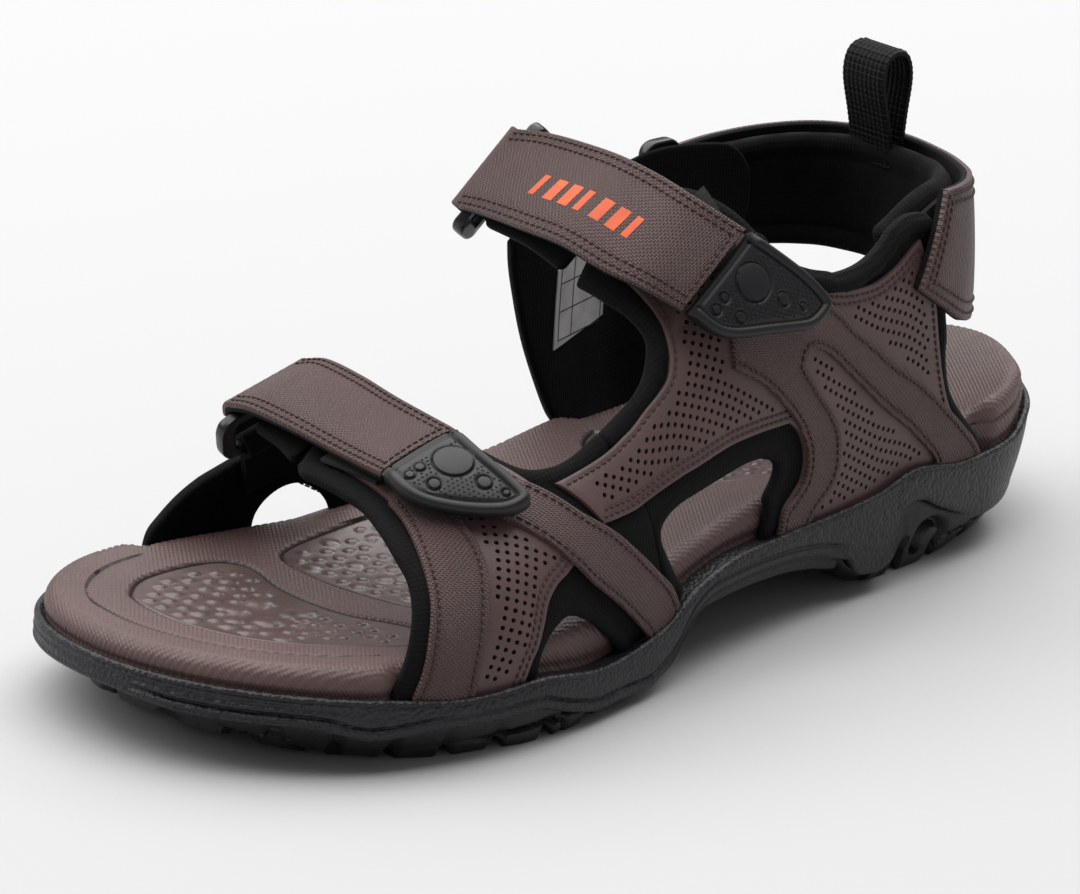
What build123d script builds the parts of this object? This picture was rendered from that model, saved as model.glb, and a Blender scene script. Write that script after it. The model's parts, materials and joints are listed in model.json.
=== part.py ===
from build123d import *
import os
from bisect import bisect_right
from math import atan2, cos, degrees, pi, radians, sin

# A strappy sport sandal for the left foot, in millimetres.  +Z is up, the toe
# points to -Y, the outer (lateral) side is +X.  The origin is the middle of the
# footprint on the ground.

# ------------------------------------------------------------ driving dimensions
sole_length = 290.0          # toe to heel
sole_width_factor = 1.04     # widens the plan tables below
axis_shift = 1.56            # puts the footprint's box on the origin
upper_inset = 2.5            # the upper stands this far inside the sole edge
lining_thick = 2.1           # neoprene lining
panel_thick = 1.05           # perforated panel
overlay_thick = 1.1          # smooth overlay
layer_gap = 0.08             # clearance between laminated layers
strap_face_thick = 1.4       # brown strap face
strap_lining_thick = 1.3     # black strap lining
patch_thick = 1.1            # hook patch and loop patch
ring_wire = 1.6              # radius of a ring's section
ring_clear = 0.35            # play of a strap or a keeper on a ring
ring_reach = 9.6             # distance between a ring's two bars
tab_thick = 3.6              # moulded tab on the end of a strap
collar_thick = 5.0           # padded heel collar
pull_width, pull_thick, pull_height = 14.0, 1.6, 25.0

half = sole_length / 2
ax = axis_shift

# station tables: fraction of length from the heel, outer side x, inner side x
plan_t = [0, .01, .03, .06, .10, .15, .20, .30, .40, .50, .60, .68, .75, .82, .88, .93, .97, .99, 1]
plan_out = [3, 14, 24, 31, 36, 39, 40, 41, 42.5, 46, 51, 54, 54, 50, 43, 33, 18, 6, -12]
plan_in = [3, -9, -19, -27, -33, -37, -38.5, -37, -35, -36, -42, -49, -54, -57, -56, -51, -41, -30, -12]


def curve(xs, ys):
    """Monotone cubic through a table of stations."""
    n = len(xs)
    h = [xs[i + 1] - xs[i] for i in range(n - 1)]
    m = [(ys[i + 1] - ys[i]) / h[i] for i in range(n - 1)]
    d = [m[0]] + [0.0 if m[i - 1] * m[i] <= 0 else 2 * m[i - 1] * m[i] / (m[i - 1] + m[i])
                  for i in range(1, n - 1)] + [m[-1]]

    def f(x):
        i = min(max(bisect_right(xs, x) - 1, 0), n - 2)
        t = min(max((x - xs[i]) / h[i], 0.0), 1.0)
        return ((1 + 2 * t) * (1 - t) ** 2 * ys[i] + t * (1 - t) ** 2 * h[i] * d[i]
                + t * t * (3 - 2 * t) * ys[i + 1] + t * t * (t - 1) * h[i] * d[i + 1])
    return f


def lin(xs, ys):
    def f(x):
        i = min(max(bisect_right(xs, x) - 1, 0), len(xs) - 2)
        t = min(max((x - xs[i]) / (xs[i + 1] - xs[i]), 0.0), 1.0)
        return ys[i] + (ys[i + 1] - ys[i]) * t
    return f


ys_plan = [half - t * sole_length for t in plan_t][::-1]
out_x = lin(ys_plan, [x * sole_width_factor + ax for x in plan_out][::-1])
in_x = lin(ys_plan, [x * sole_width_factor + ax for x in plan_in][::-1])
centre_x = -3.0 + ax

# heights along the sandal
rim_out = curve([-145, -110, -85, -70, -46, -24, -10, 10, 40, 60, 75, 95, 115, 130, 145],
                [22, 18.5, 16, 16.5, 13.5, 16, 22, 25, 25, 26, 29, 26, 26, 30, 32])
rim_in = curve([-145, -110, -85, -60, -30, 0, 40, 80, 115, 130, 145],
               [22, 19, 19, 19, 23, 27, 27, 27, 27, 30, 32])
top_out = curve([-145, -104, -82, -60, -40, -20, 0, 20, 40, 60, 80, 145],
                [46, 51, 53, 60, 69, 80, 95, 112, 128, 138, 142, 142])
top_in = curve([-145, -104, -82, -60, -40, -20, 0, 20, 60, 145],
               [46, 51, 53, 60, 74, 95, 115, 125, 138, 142])
pow_out = curve([-145, -80, 0, 60, 145], [2.5, 2.5, 2.3, 2.2, 2.2])
pow_in = curve([-145, -60, -20, 20, 60, 145], [2.5, 2.5, 3.0, 3.2, 2.8, 2.4])
wall_in = curve([-145, -110, -90, -70, -40, -20, 0, 20, 40, 60, 90, 120, 145],
                [-12, -53, -55.5, -55, -43, -37.5, -37, -38, -42, -46, -44, -34, -6])
footbed_edge = curve([-145, -120, -90, -60, -30, 0, 25, 60, 100, 145],
                     [28, 26, 24.5, 24, 27, 31, 34, 35, 37, 40])
footbed_dish = curve([-145, -90, -40, 20, 60, 100, 145], [0.5, 2.5, 3.0, 4.0, 8.0, 9.0, 2.0])
sole_under = curve([-145, -130, -110, -90, -60, -40, -15, 20, 50, 65, 80, 125, 140, 145],
                   [15, 9, 6, 5, 5, 6.5, 13, 16, 13, 7.5, 6, 6, 8.5, 11])
tread_under = curve([-145, -130, -112, -100, -60, -40, -15, 20, 50, 62, 70, 126, 136, 145],
                    [12, 5.5, 1.2, -0.4, -0.4, 1.5, 8, 11, 7, 0.8, -0.4, -0.4, 2.4, 7])


# ------------------------------------------------------------ the foot surface
def skin_point(y, a, off=0.0):
    """A point of the upper: a is the angle from the outer rim over the top."""
    def raw(y, a):
        c, s = cos(a), sin(a)
        if c >= 0:
            A = out_x(y) - upper_inset - centre_x
            zr, zt, p = rim_out(y), top_out(y), pow_out(y)
        else:
            A = centre_x - (wall_in(y) + ax)
            zr, zt, p = rim_in(y), top_in(y), pow_in(y)
        H = zt - zr
        r = ((abs(c) / A) ** p + (abs(s) / H) ** p) ** (-1 / p)
        return Vector(centre_x + r * c, y, zr + r * s)
    q = raw(y, a)
    if off:
        e = 0.02
        t1 = raw(y + 1.0, a) - raw(y - 1.0, a)
        t2 = raw(y, a + e) - raw(y, a - e)
        n = t2.cross(t1).normalized()
        if n.dot(Vector(cos(a), 0, sin(a))) < 0:
            n = n * -1
        q = q + n * off
    return q


def sound(make, amount, sizes):
    """The first of several samplings whose face thickens into a valid solid."""
    for size in sizes:
        face = make(*size)
        try:
            solid = Solid.thicken(face, amount)
            if solid.is_valid and solid.volume > 0:
                return face
        except ValueError:
            pass
    raise ValueError("no sampling of this face thickens")


def skin_face(y0, y1, a0, a1, off, ny=16, na=12, amount=1.1):
    """Rectangle of the foot surface as one smooth face, normal outwards."""
    sizes = [(ny, na), (18, 10), (14, 9), (20, 12), (12, 8), (24, 14), (10, 7)]
    return sound(lambda n, m: skin_sheet(y0, y1, a0, a1, off, n, m), amount, sizes)


def skin_sheet(y0, y1, a0, a1, off, ny, na):
    grid = [[skin_point(y0 + (y1 - y0) * i / (ny - 1),
                        radians(a0 + (a1 - a0) * j / (na - 1)), off)
             for j in range(na)] for i in range(ny)]
    face = Face.make_surface_from_array_of_points(grid)
    mid = grid[ny // 2][na // 2]
    out = Vector(mid.X - centre_x, 0, mid.Z - rim_out(mid.Y))
    return face if face.normal_at(mid).dot(out) > 0 else -face


def seen_from(tilt, side=1):
    """Drawing plane for cutting a panel's outline; tilt lifts its view upwards."""
    a = radians(tilt)
    return Plane(origin=(0, 0, 0), x_dir=(0, side, 0), z_dir=(side * cos(a), 0, sin(a)))


def flat(points, plane, off=0.6):
    """(y, angle) points of the upper, projected on a drawing plane."""
    out = []
    for y, a in points:
        q = plane.to_local_coords(skin_point(y, radians(a), off))
        out.append((q.X, q.Y))
    return out


def draw(runs, plane):
    """Closed outline from runs of (y, angle) points that share their ends."""
    for run in runs:
        pts = flat(run, plane)
        if len(pts) > 2:
            Spline(*pts)
        else:
            Line(*pts)


def patch(rows):
    return Face.make_surface_from_array_of_points(rows)


def plan_points(inset, n=15, y_toe=None, y_heel=None):
    """Plan outline at an inset, as a closed ring of points."""
    k = (half - inset) / half
    ys = [half * sin(pi / 2 * (-1 + 2 * i / (n - 1))) for i in range(n)]
    xo = [out_x(y) for y in ys]
    xi = [in_x(y) for y in ys]
    def fit(x, y, s):
        return (x - s * inset, y * k)
    right = [fit(x, y, 1) for x, y in zip(xo, ys)]
    left = [fit(x, y, -1) for x, y in zip(xi, ys)]
    toe = ((right[0][0] + left[0][0]) / 2, -half * k)
    heel = ((right[-1][0] + left[-1][0]) / 2, half * k)
    return [toe] + right[1:-1] + [heel] + left[1:-1][::-1]


def level(z_at, x0=-75.0, x1=75.0, nx=9, ny=30):
    """A sheet z = z_at(x, y) that spans the whole sole."""
    rows = [[Vector(x0 + (x1 - x0) * i / (nx - 1), -155 + 310 * j / (ny - 1),
                    z_at(x0 + (x1 - x0) * i / (nx - 1), -155 + 310 * j / (ny - 1)))
             for i in range(nx)] for j in range(ny)]
    return patch(rows)


def rim_z(x, y):
    y = min(max(y, -145), 145)
    w = (x - in_x(y)) / max(out_x(y) - in_x(y), 20)
    w = min(max(w, 0), 1)
    return rim_in(y) * (1 - w) + rim_out(y) * w


def foot_z(x, y):
    y = min(max(y, -145), 145)
    c = (out_x(y) + in_x(y)) / 2
    w = max((out_x(y) - in_x(y)) / 2 - 5, 12)
    r = min(abs(x - c) / w, 1)
    end = max(0, 1 - max(0, (y - 88) / 50) ** 3)
    return footbed_edge(y) - footbed_dish(y) * (1 - r ** 2.4) * end


def clampy(f):
    return lambda x, y: f(min(max(y, -145), 145))


under_face = level(clampy(sole_under))
tread_face = level(clampy(tread_under))
rim_face = level(rim_z)
foot_face = level(foot_z, ny=40, nx=17)
pocket_face = level(lambda x, y: min(rim_out(min(max(y, -145), 145)), rim_in(min(max(y, -145), 145))) - 4.5)

# ------------------------------------------------------------ sole
with BuildPart() as pocket:
    with BuildSketch():
        with BuildLine():
            Spline(*plan_points(6.4), periodic=True)
        make_face()
    extrude(amount=62)
    extrude(to_extrude=pocket_face, amount=90, dir=(0, 0, -1), mode=Mode.SUBTRACT)

with BuildPart() as footbed:
    add(pocket.part)
    extrude(to_extrude=foot_face, amount=90, dir=(0, 0, 1), mode=Mode.SUBTRACT)

with BuildPart() as midsole:
    with BuildSketch():
        with BuildLine():
            Spline(*plan_points(0.0), periodic=True)
        make_face()
    extrude(amount=60)
    extrude(to_extrude=rim_face, amount=90, dir=(0, 0, 1), mode=Mode.SUBTRACT)
    extrude(to_extrude=under_face, amount=90, dir=(0, 0, -1), mode=Mode.SUBTRACT)
    add(pocket.part, mode=Mode.SUBTRACT)

# rubber treads: one pad under the forefoot and one under the heel, with lugs
with BuildPart() as outsole_forefoot:
    with BuildSketch():
        with BuildLine():
            Spline(*plan_points(2.0), periodic=True)
        make_face()
        with Locations((0, -80)):
            Rectangle(140, 130, mode=Mode.INTERSECT)
    extrude(amount=30)
    extrude(to_extrude=under_face, amount=60, dir=(0, 0, 1), mode=Mode.SUBTRACT)
    extrude(to_extrude=tread_face, amount=60, dir=(0, 0, -1), mode=Mode.SUBTRACT)
    with BuildSketch(Plane.XY.offset(-1)):
        with Locations(*[(0, y) for y in (-118, -104, -90, -76, -62, -48)]):
            Rectangle(140, 3.2)
        with Locations((-20 + ax, -84), (12 + ax, -84)):
            Rectangle(2.8, 78)
    extrude(amount=3.6, mode=Mode.SUBTRACT)
    with BuildSketch(Plane.XY.offset(-4)):
        Rectangle(200, 400)
    extrude(amount=4, mode=Mode.SUBTRACT)

with BuildPart() as outsole_heel:
    with BuildSketch():
        with BuildLine():
            Spline(*plan_points(2.0), periodic=True)
        make_face()
        with Locations((0, 98)):
            Rectangle(140, 96, mode=Mode.INTERSECT)
    extrude(amount=30)
    extrude(to_extrude=under_face, amount=60, dir=(0, 0, 1), mode=Mode.SUBTRACT)
    extrude(to_extrude=tread_face, amount=60, dir=(0, 0, -1), mode=Mode.SUBTRACT)
    with BuildSketch(Plane.XY.offset(-1)):
        with Locations(*[(0, y) for y in (78, 92, 106, 120)]):
            Rectangle(140, 3.2)
        with Locations((ax, 96)):
            Rectangle(2.8, 58)
    extrude(amount=3.6, mode=Mode.SUBTRACT)
    with BuildSketch(Plane.XY.offset(-4)):
        Rectangle(200, 400)
    extrude(amount=4, mode=Mode.SUBTRACT)

# ------------------------------------------------------------ layers of the upper
lining_off = -(lining_thick + panel_thick + layer_gap)
panel_off = -panel_thick
overlay_off = layer_gap

outer_view = seen_from(48)
outer_side = seen_from(22)
inner_view = seen_from(42, -1)
inner_side = seen_from(8, -1)

# edges of the outer side, (y, angle)
foot_line = 1.0
vamp_front = [(-104.4, 1), (-101.8, 8), (-99.2, 15.9), (-96.1, 24.7), (-93.8, 32.2), (-91.9, 41.4), (-88.8, 53),
              (-86, 64.6), (-84.9, 74.5), (-83.7, 88.6), (-83.1, 100), (-81, 106)]
vamp_end = [(-81, 106), (-73, 110), (-63, 109), (-57, 103)]
vamp_instep = [(-57, 103), (-56, 82), (-55.6, 64), (-54, 55.2), (-51, 50.8), (-45, 49), (-38.7, 49.3), (-31, 51)]
vamp_seam = [(-31, 51), (-28, 40), (-24.5, 28), (-22, 14), (-17, 1)]
vamp_foot = [(-17, 1), (-40, 1), (-60, 1), (-80, 1), (-104.4, 1)]
small_window = [(-68.6, -5), (-66.9, 3), (-64.6, 7.6), (-60.7, 11.4), (-56.1, 13.6), (-49.4, 11.9), (-42.8, 6.4),
                (-38.3, 1.3), (-36.4, -5)]
quarter_seam = [(-16.6, 1), (-21.6, 14), (-24.1, 28), (-27.6, 40), (-30.6, 50.8)]
quarter_instep = [(-30.6, 50.8), (-22.8, 52.5), (-17, 53.3), (-13, 55), (-9.5, 58.5), (-8.1, 62), (-8.6, 68), (-9.8, 75), (-10.2, 82)]
quarter_tongue = [(-10.2, 82), (2, 85), (14, 81), (22, 72), (29.2, 63.5)]
quarter_topline = [(29.2, 63.5), (33.5, 60.4), (39.7, 58.2), (45.7, 56.9), (49.1, 56.1), (56.9, 56), (65, 57.1), (70, 58.4), (76, 59.2), (82, 59.4)]
quarter_rear = [(82, 59.4), (86.5, 51), (88.1, 38.8), (87.7, 33), (89.3, 24), (95, 14.7), (101.8, 5), (104, 1)]
quarter_foot = [(104, 1), (80, 1), (50, 1), (20, 1), (-16.6, 1)]
window_front = [(-13.6, -5), (-13.6, 1.3), (-16.8, 8.6), (-19.9, 16), (-21.4, 20.7), (-20.9, 23.9)]
window_top = [(-20.9, 23.9), (-17.1, 24.7), (-9.3, 23.7), (2.7, 23.3), (13, 24.3), (18.6, 24.3)]
window_rear = [(18.6, 24.3), (23.4, 22.6), (25.5, 19.8), (24.3, 16), (21.1, 11.4), (21.7, 7.4), (19.2, -5)]


def shift(points, dy, da=0.0):
    return [(y + dy, a + da) for y, a in points]


# ------------------------------------------------------------ outer side of the upper
with BuildPart() as vamp_lining:
    thicken(skin_face(-110, -10, -6, 118, lining_off, 26, 20, amount=lining_thick), amount=lining_thick)
    with BuildSketch(outer_view) as s1:
        with BuildLine():
            draw([vamp_front, vamp_end, vamp_instep, vamp_seam, vamp_foot], outer_view)
        make_face()
    extrude(amount=120, both=True, mode=Mode.INTERSECT)
    with BuildSketch(Plane.YZ) as s2:
        with BuildLine():
            draw([small_window, [small_window[-1], small_window[0]]], Plane.YZ)
        make_face()
    extrude(amount=90, mode=Mode.SUBTRACT)

with BuildPart() as quarter_lining:
    thicken(skin_face(-36, 108, -6, 94, lining_off, 30, 18, amount=lining_thick), amount=lining_thick)
    with BuildSketch(outer_side) as s3:
        with BuildLine():
            draw([quarter_seam, quarter_instep, quarter_tongue, quarter_topline, quarter_rear, quarter_foot], outer_side)
        make_face()
    extrude(amount=120, both=True, mode=Mode.INTERSECT)
    with BuildSketch(Plane.YZ) as s4:
        with BuildLine():
            draw([window_front, window_top, window_rear, [window_rear[-1], window_front[0]]], Plane.YZ)
        make_face()
    extrude(amount=90, mode=Mode.SUBTRACT)

with BuildPart() as vamp_panel:
    thicken(skin_face(-104, -44, -4, 94, panel_off, 18, 18, amount=panel_thick), amount=panel_thick)
    with BuildSketch(outer_view) as s5:
        with BuildLine():
            draw([[(-99.4, 1), (-97.5, 6.8), (-95, 15.6), (-92, 24), (-89.5, 31.5), (-86.7, 39.8), (-83.3, 50), (-81, 60.7), (-79, 75), (-78, 87)],
                  [(-78, 87), (-68, 89), (-59, 86)],
                  [(-59, 86), (-57.5, 66), (-56, 57), (-53, 46), (-50.5, 36), (-51.5, 27), (-55, 23.5), (-59.3, 20.8),
                   (-63.1, 16.9), (-65.6, 11.9), (-67.9, 7), (-70.2, 3.7), (-72.6, 1)],
                  [(-72.6, 1), (-86, 1), (-99.4, 1)]], outer_view)
        make_face()
    extrude(amount=120, both=True, mode=Mode.INTERSECT)

with BuildPart() as vamp_overlay:
    thicken(skin_face(-106, -60, -4, 72, overlay_off, 14, 14, amount=overlay_thick), amount=overlay_thick)
    with BuildSketch(outer_view) as s6:
        with BuildLine():
            draw([[(-100.9, 1), (-99, 6.8), (-96.5, 15.6), (-93.5, 24), (-91, 31.5), (-88.2, 39.8), (-84.8, 50), (-82.8, 59)],
                  [(-82.8, 59), (-77, 59.5), (-70.5, 58)],
                  [(-70.5, 58), (-72.6, 48), (-74, 40.3), (-74.7, 34.3), (-75.9, 29), (-78.3, 23.3), (-80.8, 17.5), (-83.2, 11.1), (-85.1, 5.5), (-86.2, 1)],
                  [(-86.2, 1), (-93, 1), (-100.9, 1)]], outer_view)
        make_face()
    extrude(amount=120, both=True, mode=Mode.INTERSECT)

with BuildPart() as diagonal_overlay:
    thicken(skin_face(-72, -10, -4, 62, overlay_off, 18, 14, amount=overlay_thick), amount=overlay_thick)
    with BuildSketch(outer_view) as s7:
        with BuildLine():
            draw([[(-29.8, 1), (-35.9, 8.3), (-41.6, 14.2), (-48.7, 20.3), (-53.1, 25), (-56.2, 28.6), (-60.1, 33), (-64.3, 37.8), (-67, 42)],
                  [(-67, 42), (-66.5, 48), (-61, 52.5), (-53.8, 46.4)],
                  [(-53.8, 46.4), (-50.1, 41.3), (-45.8, 36.1), (-39.1, 30.4), (-33.2, 24.2), (-26.8, 16.9), (-20.8, 9.6), (-17, 1)],
                  [(-17, 1), (-29.8, 1)]], outer_view)
        make_face()
    extrude(amount=120, both=True, mode=Mode.INTERSECT)

with BuildPart() as quarter_panel:
    thicken(skin_face(-52, 104, -4, 86, panel_off, 32, 18, amount=panel_thick), amount=panel_thick)
    with BuildSketch(outer_side) as s8:
        with BuildLine():
            draw([[(-40, 32), (-44, 39), (-48, 45)],
                  [(-48, 45), (-39.9, 45.6), (-31.9, 46.3), (-24.6, 47.8), (-18.3, 49.1), (-13.2, 49.6), (-9.1, 51), (-6.3, 54.4), (-5, 58), (-4.3, 62), (-4.5, 70), (-5, 78)],
                  [(-5, 78), (6, 80), (18, 74), (27, 62)],
                  [(27, 62), (33, 58.5), (38.6, 56.4), (43.4, 55.1), (50.7, 53.6), (58.4, 52.9), (66.3, 52.8), (72, 53.6), (79, 56)],
                  [(79, 56), (83, 48), (84.3, 38), (86, 28), (88.5, 20), (93, 12), (97, 5), (99, 1)],
                  [(99, 1), (70, 1), (45, 1), (25.5, 1)],
                  [(25.5, 1), (26.6, 6.2), (29.9, 9.9), (33.2, 14.3), (34.3, 21.1), (32.3, 27.6), (28.8, 31)],
                  [(28.8, 31), (17.4, 30.9), (8, 30.4), (-2, 29.8), (-12, 30.1), (-21.5, 32.1), (-29.9, 31.6), (-40, 32)]], outer_side)
        make_face()
    extrude(amount=120, both=True, mode=Mode.INTERSECT)

with BuildPart() as quarter_overlay:
    thicken(skin_face(4, 106, -4, 68, overlay_off, 24, 14, amount=overlay_thick), amount=overlay_thick)
    with BuildSketch(outer_side) as s9:
        with BuildLine():
            draw([[(24.5, 1), (25.6, 6.2), (29.7, 9.9), (33.2, 14.3), (34.3, 21.1), (32.3, 27.6), (28.8, 33), (20, 41), (10, 46.5)],
                  [(10, 46.5), (13, 58), (24, 61)],
                  [(24, 61), (35, 57.5), (46.8, 51.4), (52.1, 47.5), (61.2, 41.3), (69.8, 33.2), (77.3, 26.8), (85, 20.6), (92.4, 13.9), (99.1, 5.1), (101, 1)],
                  [(101, 1), (83.2, 1)],
                  [(83.2, 1), (75.4, 10.3), (67.7, 19.8), (59.4, 29.5), (51.4, 37.1), (44.5, 42.8), (40, 45.2), (36, 45.6), (34, 43.2)],
                  [(34, 43.2), (35.7, 40.8), (39.3, 36.3), (43.2, 31.3), (46, 25.3), (46.5, 19.5), (45.9, 13.1), (42.9, 7.8), (39, 4.2), (36.5, 1)],
                  [(36.5, 1), (24.5, 1)]], outer_side)
        make_face()
    extrude(amount=120, both=True, mode=Mode.INTERSECT)


# ------------------------------------------------------------ inner side of the upper
def rise(y, z):
    """Angle of the inner side at height z."""
    lo, hi = 92.0, 184.0
    for _ in range(40):
        m = (lo + hi) / 2
        if skin_point(y, radians(m)).Z > z:
            lo = m
        else:
            hi = m
    return (y, (lo + hi) / 2)


def rises(points):
    return [rise(y, z) for y, z in points]


in_vamp = [rises([(-92, 20), (-90.5, 26), (-87, 30), (-82.7, 34.5), (-79, 37.5), (-76, 39)]),
           rises([(-76, 39), (-66, 42), (-57, 43)]),
           rises([(-57, 43), (-49, 38), (-40, 32.5), (-30, 27), (-24, 24.8)]),
           rises([(-24, 24.8), (-40, 22.5), (-55, 20), (-75, 19.6), (-92, 20)])]
in_window = rises([(-60, 14), (-58.5, 24), (-54, 30), (-48.5, 31), (-43, 26), (-40.5, 14)])
in_quarter = [rises([(30, 28), (26, 33), (21.5, 41), (15.5, 54), (11, 67), (8.5, 75), (7, 82)]),
              rises([(7, 82), (13, 86), (20, 89), (30, 90), (42, 89), (50, 90), (55, 91)]),
              rises([(55, 91), (56.5, 82), (58, 70), (64, 55), (80, 38), (96, 28.5)]),
              rises([(96, 28.5), (70, 28), (50, 28), (30, 28)])]


def inset(runs, k, yc, ac):
    return [[(yc + (y - yc) * k, ac + (a - ac) * k) for y, a in run] for run in runs]


with BuildPart() as inner_vamp_lining:
    thicken(skin_face(-98, -18, 112, 186, lining_off, 22, 14, amount=lining_thick), amount=lining_thick)
    with BuildSketch(inner_side) as m1:
        with BuildLine():
            draw(in_vamp, inner_side)
        make_face()
    extrude(amount=120, both=True, mode=Mode.INTERSECT)
    with BuildSketch(inner_side) as m2:
        with BuildLine():
            draw([in_window, [in_window[-1], in_window[0]]], inner_side)
        make_face()
    extrude(amount=120, mode=Mode.SUBTRACT)

with BuildPart() as inner_vamp_overlay:
    thicken(skin_face(-97, -19, 114, 185, panel_off, 18, 10, amount=overlay_thick), amount=overlay_thick)
    with BuildSketch(inner_side) as m3:
        with BuildLine():
            draw(inset(in_vamp, 0.93, -60, 166), inner_side)
        make_face()
    extrude(amount=120, both=True, mode=Mode.INTERSECT)
    with BuildSketch(inner_side) as m4:
        with BuildLine():
            draw([shift(in_window, 0, -2.0), [shift(in_window, 0, -2.0)[-1], shift(in_window, 0, -2.0)[0]]], inner_side)
        make_face()
    extrude(amount=120, mode=Mode.SUBTRACT)

with BuildPart() as inner_quarter_lining:
    thicken(skin_face(-8, 102, 100, 184, lining_off, 24, 16, amount=lining_thick), amount=lining_thick)
    with BuildSketch(inner_side) as m5:
        with BuildLine():
            draw(in_quarter, inner_side)
        make_face()
    extrude(amount=120, both=True, mode=Mode.INTERSECT)

with BuildPart() as inner_quarter_panel:
    thicken(skin_face(-8, 102, 100, 184, panel_off, 24, 16, amount=panel_thick), amount=panel_thick)
    with BuildSketch(inner_side) as m6:
        with BuildLine():
            draw(inset(in_quarter, 0.94, 48, 162), inner_side)
        make_face()
    extrude(amount=120, both=True, mode=Mode.INTERSECT)

with BuildPart() as inner_quarter_overlay:
    thicken(skin_face(-8, 102, 100, 184, overlay_off, 24, 16, amount=overlay_thick), amount=overlay_thick)
    with BuildSketch(inner_side) as m7:
        with BuildLine():
            draw([rises([(34, 29), (31, 34), (27, 42), (22, 54), (17.5, 67), (15, 76), (14, 83)]),
                  rises([(14, 83), (22, 86.5), (32, 87)]),
                  rises([(32, 87), (44, 74), (58, 58), (72, 44), (86, 33), (92, 29.5)]),
                  rises([(92, 29.5), (78, 29)]),
                  rises([(78, 29), (66, 40), (54, 53), (46, 60), (40, 58), (39, 50), (43, 38), (47, 29)]),
                  rises([(47, 29), (34, 29)])], inner_side)
        make_face()
    extrude(amount=120, both=True, mode=Mode.INTERSECT)

with BuildPart() as size_label:
    thicken(skin_face(26, 47, rise(36, 72)[1], rise(36, 52)[1], lining_off - 0.45, 8, 6, amount=0.35), amount=0.35)


# ------------------------------------------------------------ straps
def P(x, y, z):
    return Vector(x + ax, y, z)


def band_face(low, high, off=0.0, crown=0.8, trim=0.0, k=1, amount=1.4):
    """A strap's face between two edge lines; off moves it outwards, trim narrows it."""
    sizes = [(4, 7), (3, 6), (5, 8), (3, 5), (2, 5), (6, 9), (2, 4), (3, 3)]
    return sound(lambda m, q: band_sheet(low, high, off, crown, trim, k, m, q), amount, sizes)


def band_sheet(low, high, off, crown, trim, k, per, ny):
    n = len(low)
    rows = []
    steps = per * (n - 1) + 1
    def cat(line, s):
        i = min(int(s), n - 2)
        t = s - i
        p0 = line[max(i - 1, 0)] if i > 0 else line[0] * 2 - line[1]
        p1, p2 = line[i], line[i + 1]
        p3 = line[i + 2] if i + 2 < n else line[-1] * 2 - line[-2]
        return (p1 * 2 + (p2 - p0) * t + (p0 * 2 - p1 * 5 + p2 * 4 - p3) * t ** 2
                + (p1 * 3 - p0 - p2 * 3 + p3) * t ** 3) * 0.5
    for i in range(steps):
        s = (n - 1) * i / (steps - 1)
        a, b = cat(low, s), cat(high, s)
        e = 0.01
        s0, s1 = max(s - e, 0), min(s + e, n - 1)
        u = ((cat(low, s1) + cat(high, s1)) - (cat(low, s0) + cat(high, s0))).normalized()
        d = (b - a).normalized()
        nn = u.cross(d).normalized() * k
        a, b = a + d * trim, b - d * trim
        row = []
        for j in range(ny):
            v = j / (ny - 1)
            row.append(a + (b - a) * v + nn * (off + crown * (1 - (2 * v - 1) ** 2)))
        rows.append(row)
    face = Face.make_surface_from_array_of_points(rows)
    m = rows[steps // 2][ny // 2]
    s = (n - 1) * 0.5
    u = (cat(low, s + 0.01) + cat(high, s + 0.01)) - (cat(low, s - 0.01) + cat(high, s - 0.01))
    nn = u.cross(cat(high, s) - cat(low, s)) * k
    return face if face.normal_at(m).dot(nn) > 0 else -face


def sub(line, a, b):
    return line[a:b]


class Closure:
    """Frame of a strap that folds through a ring: d along the bars, u along the strap, n out of it."""

    def __init__(self, low, high, swing):
        self.low, self.high = low, high
        a, b = low[0], high[0]
        self.width = (b - a).length
        self.d = (b - a).normalized()
        u = (low[1] + high[1]) - (low[0] + high[0])
        u = (u - self.d * u.dot(self.d)).normalized()
        self.u = u
        self.n = u.cross(self.d).normalized()
        self.r_in = ring_wire + ring_clear
        self.r_out = self.r_in + strap_lining_thick + strap_face_thick + 0.1
        self.bar = (a + b) * 0.5 - self.n * self.r_out
        w = self.u * swing[0] + self.n * swing[1]
        self.w = w.normalized()
        self.hinge = self.bar + self.w * ring_reach
        self.across = Plane(origin=self.bar, x_dir=self.u, z_dir=self.d * -1)
        self.at_hinge = Plane(origin=self.hinge, x_dir=self.u, z_dir=self.d * -1)
        self.ring_plane = Plane(origin=self.bar + self.w * (ring_reach / 2), x_dir=self.d, z_dir=self.d.cross(self.w))


def sector(r0, r1, a0, a1):
    outer = CenterArc((0, 0), r1, a0, a1 - a0)
    inner = CenterArc((0, 0), r0, a0, a1 - a0)
    Line(outer @ 0, inner @ 0)
    Line(outer @ 1, inner @ 1)


def strap_face(c, last, label):
    with BuildPart() as p:
        thicken(band_face(sub(c.low, 0, last), sub(c.high, 0, last), -strap_face_thick, amount=strap_face_thick), amount=strap_face_thick)
        with BuildSketch(c.across):
            with BuildLine():
                sector(c.r_out - strap_face_thick, c.r_out, 80, 258)
            make_face()
        extrude(amount=c.width / 2, both=True)
    p.part.label = label
    return p


def strap_back(c, last, label):
    with BuildPart() as p:
        off = -strap_face_thick - strap_lining_thick - 0.1
        thick = strap_lining_thick - 0.1
        thicken(band_face(sub(c.low, 0, last), sub(c.high, 0, last), off, amount=thick), amount=thick)
        with BuildSketch(c.across):
            with BuildLine():
                sector(c.r_in, c.r_in + strap_lining_thick - 0.1, 76, 258)
            make_face()
        extrude(amount=c.width / 2, both=True)
    p.part.label = label
    return p


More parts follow.
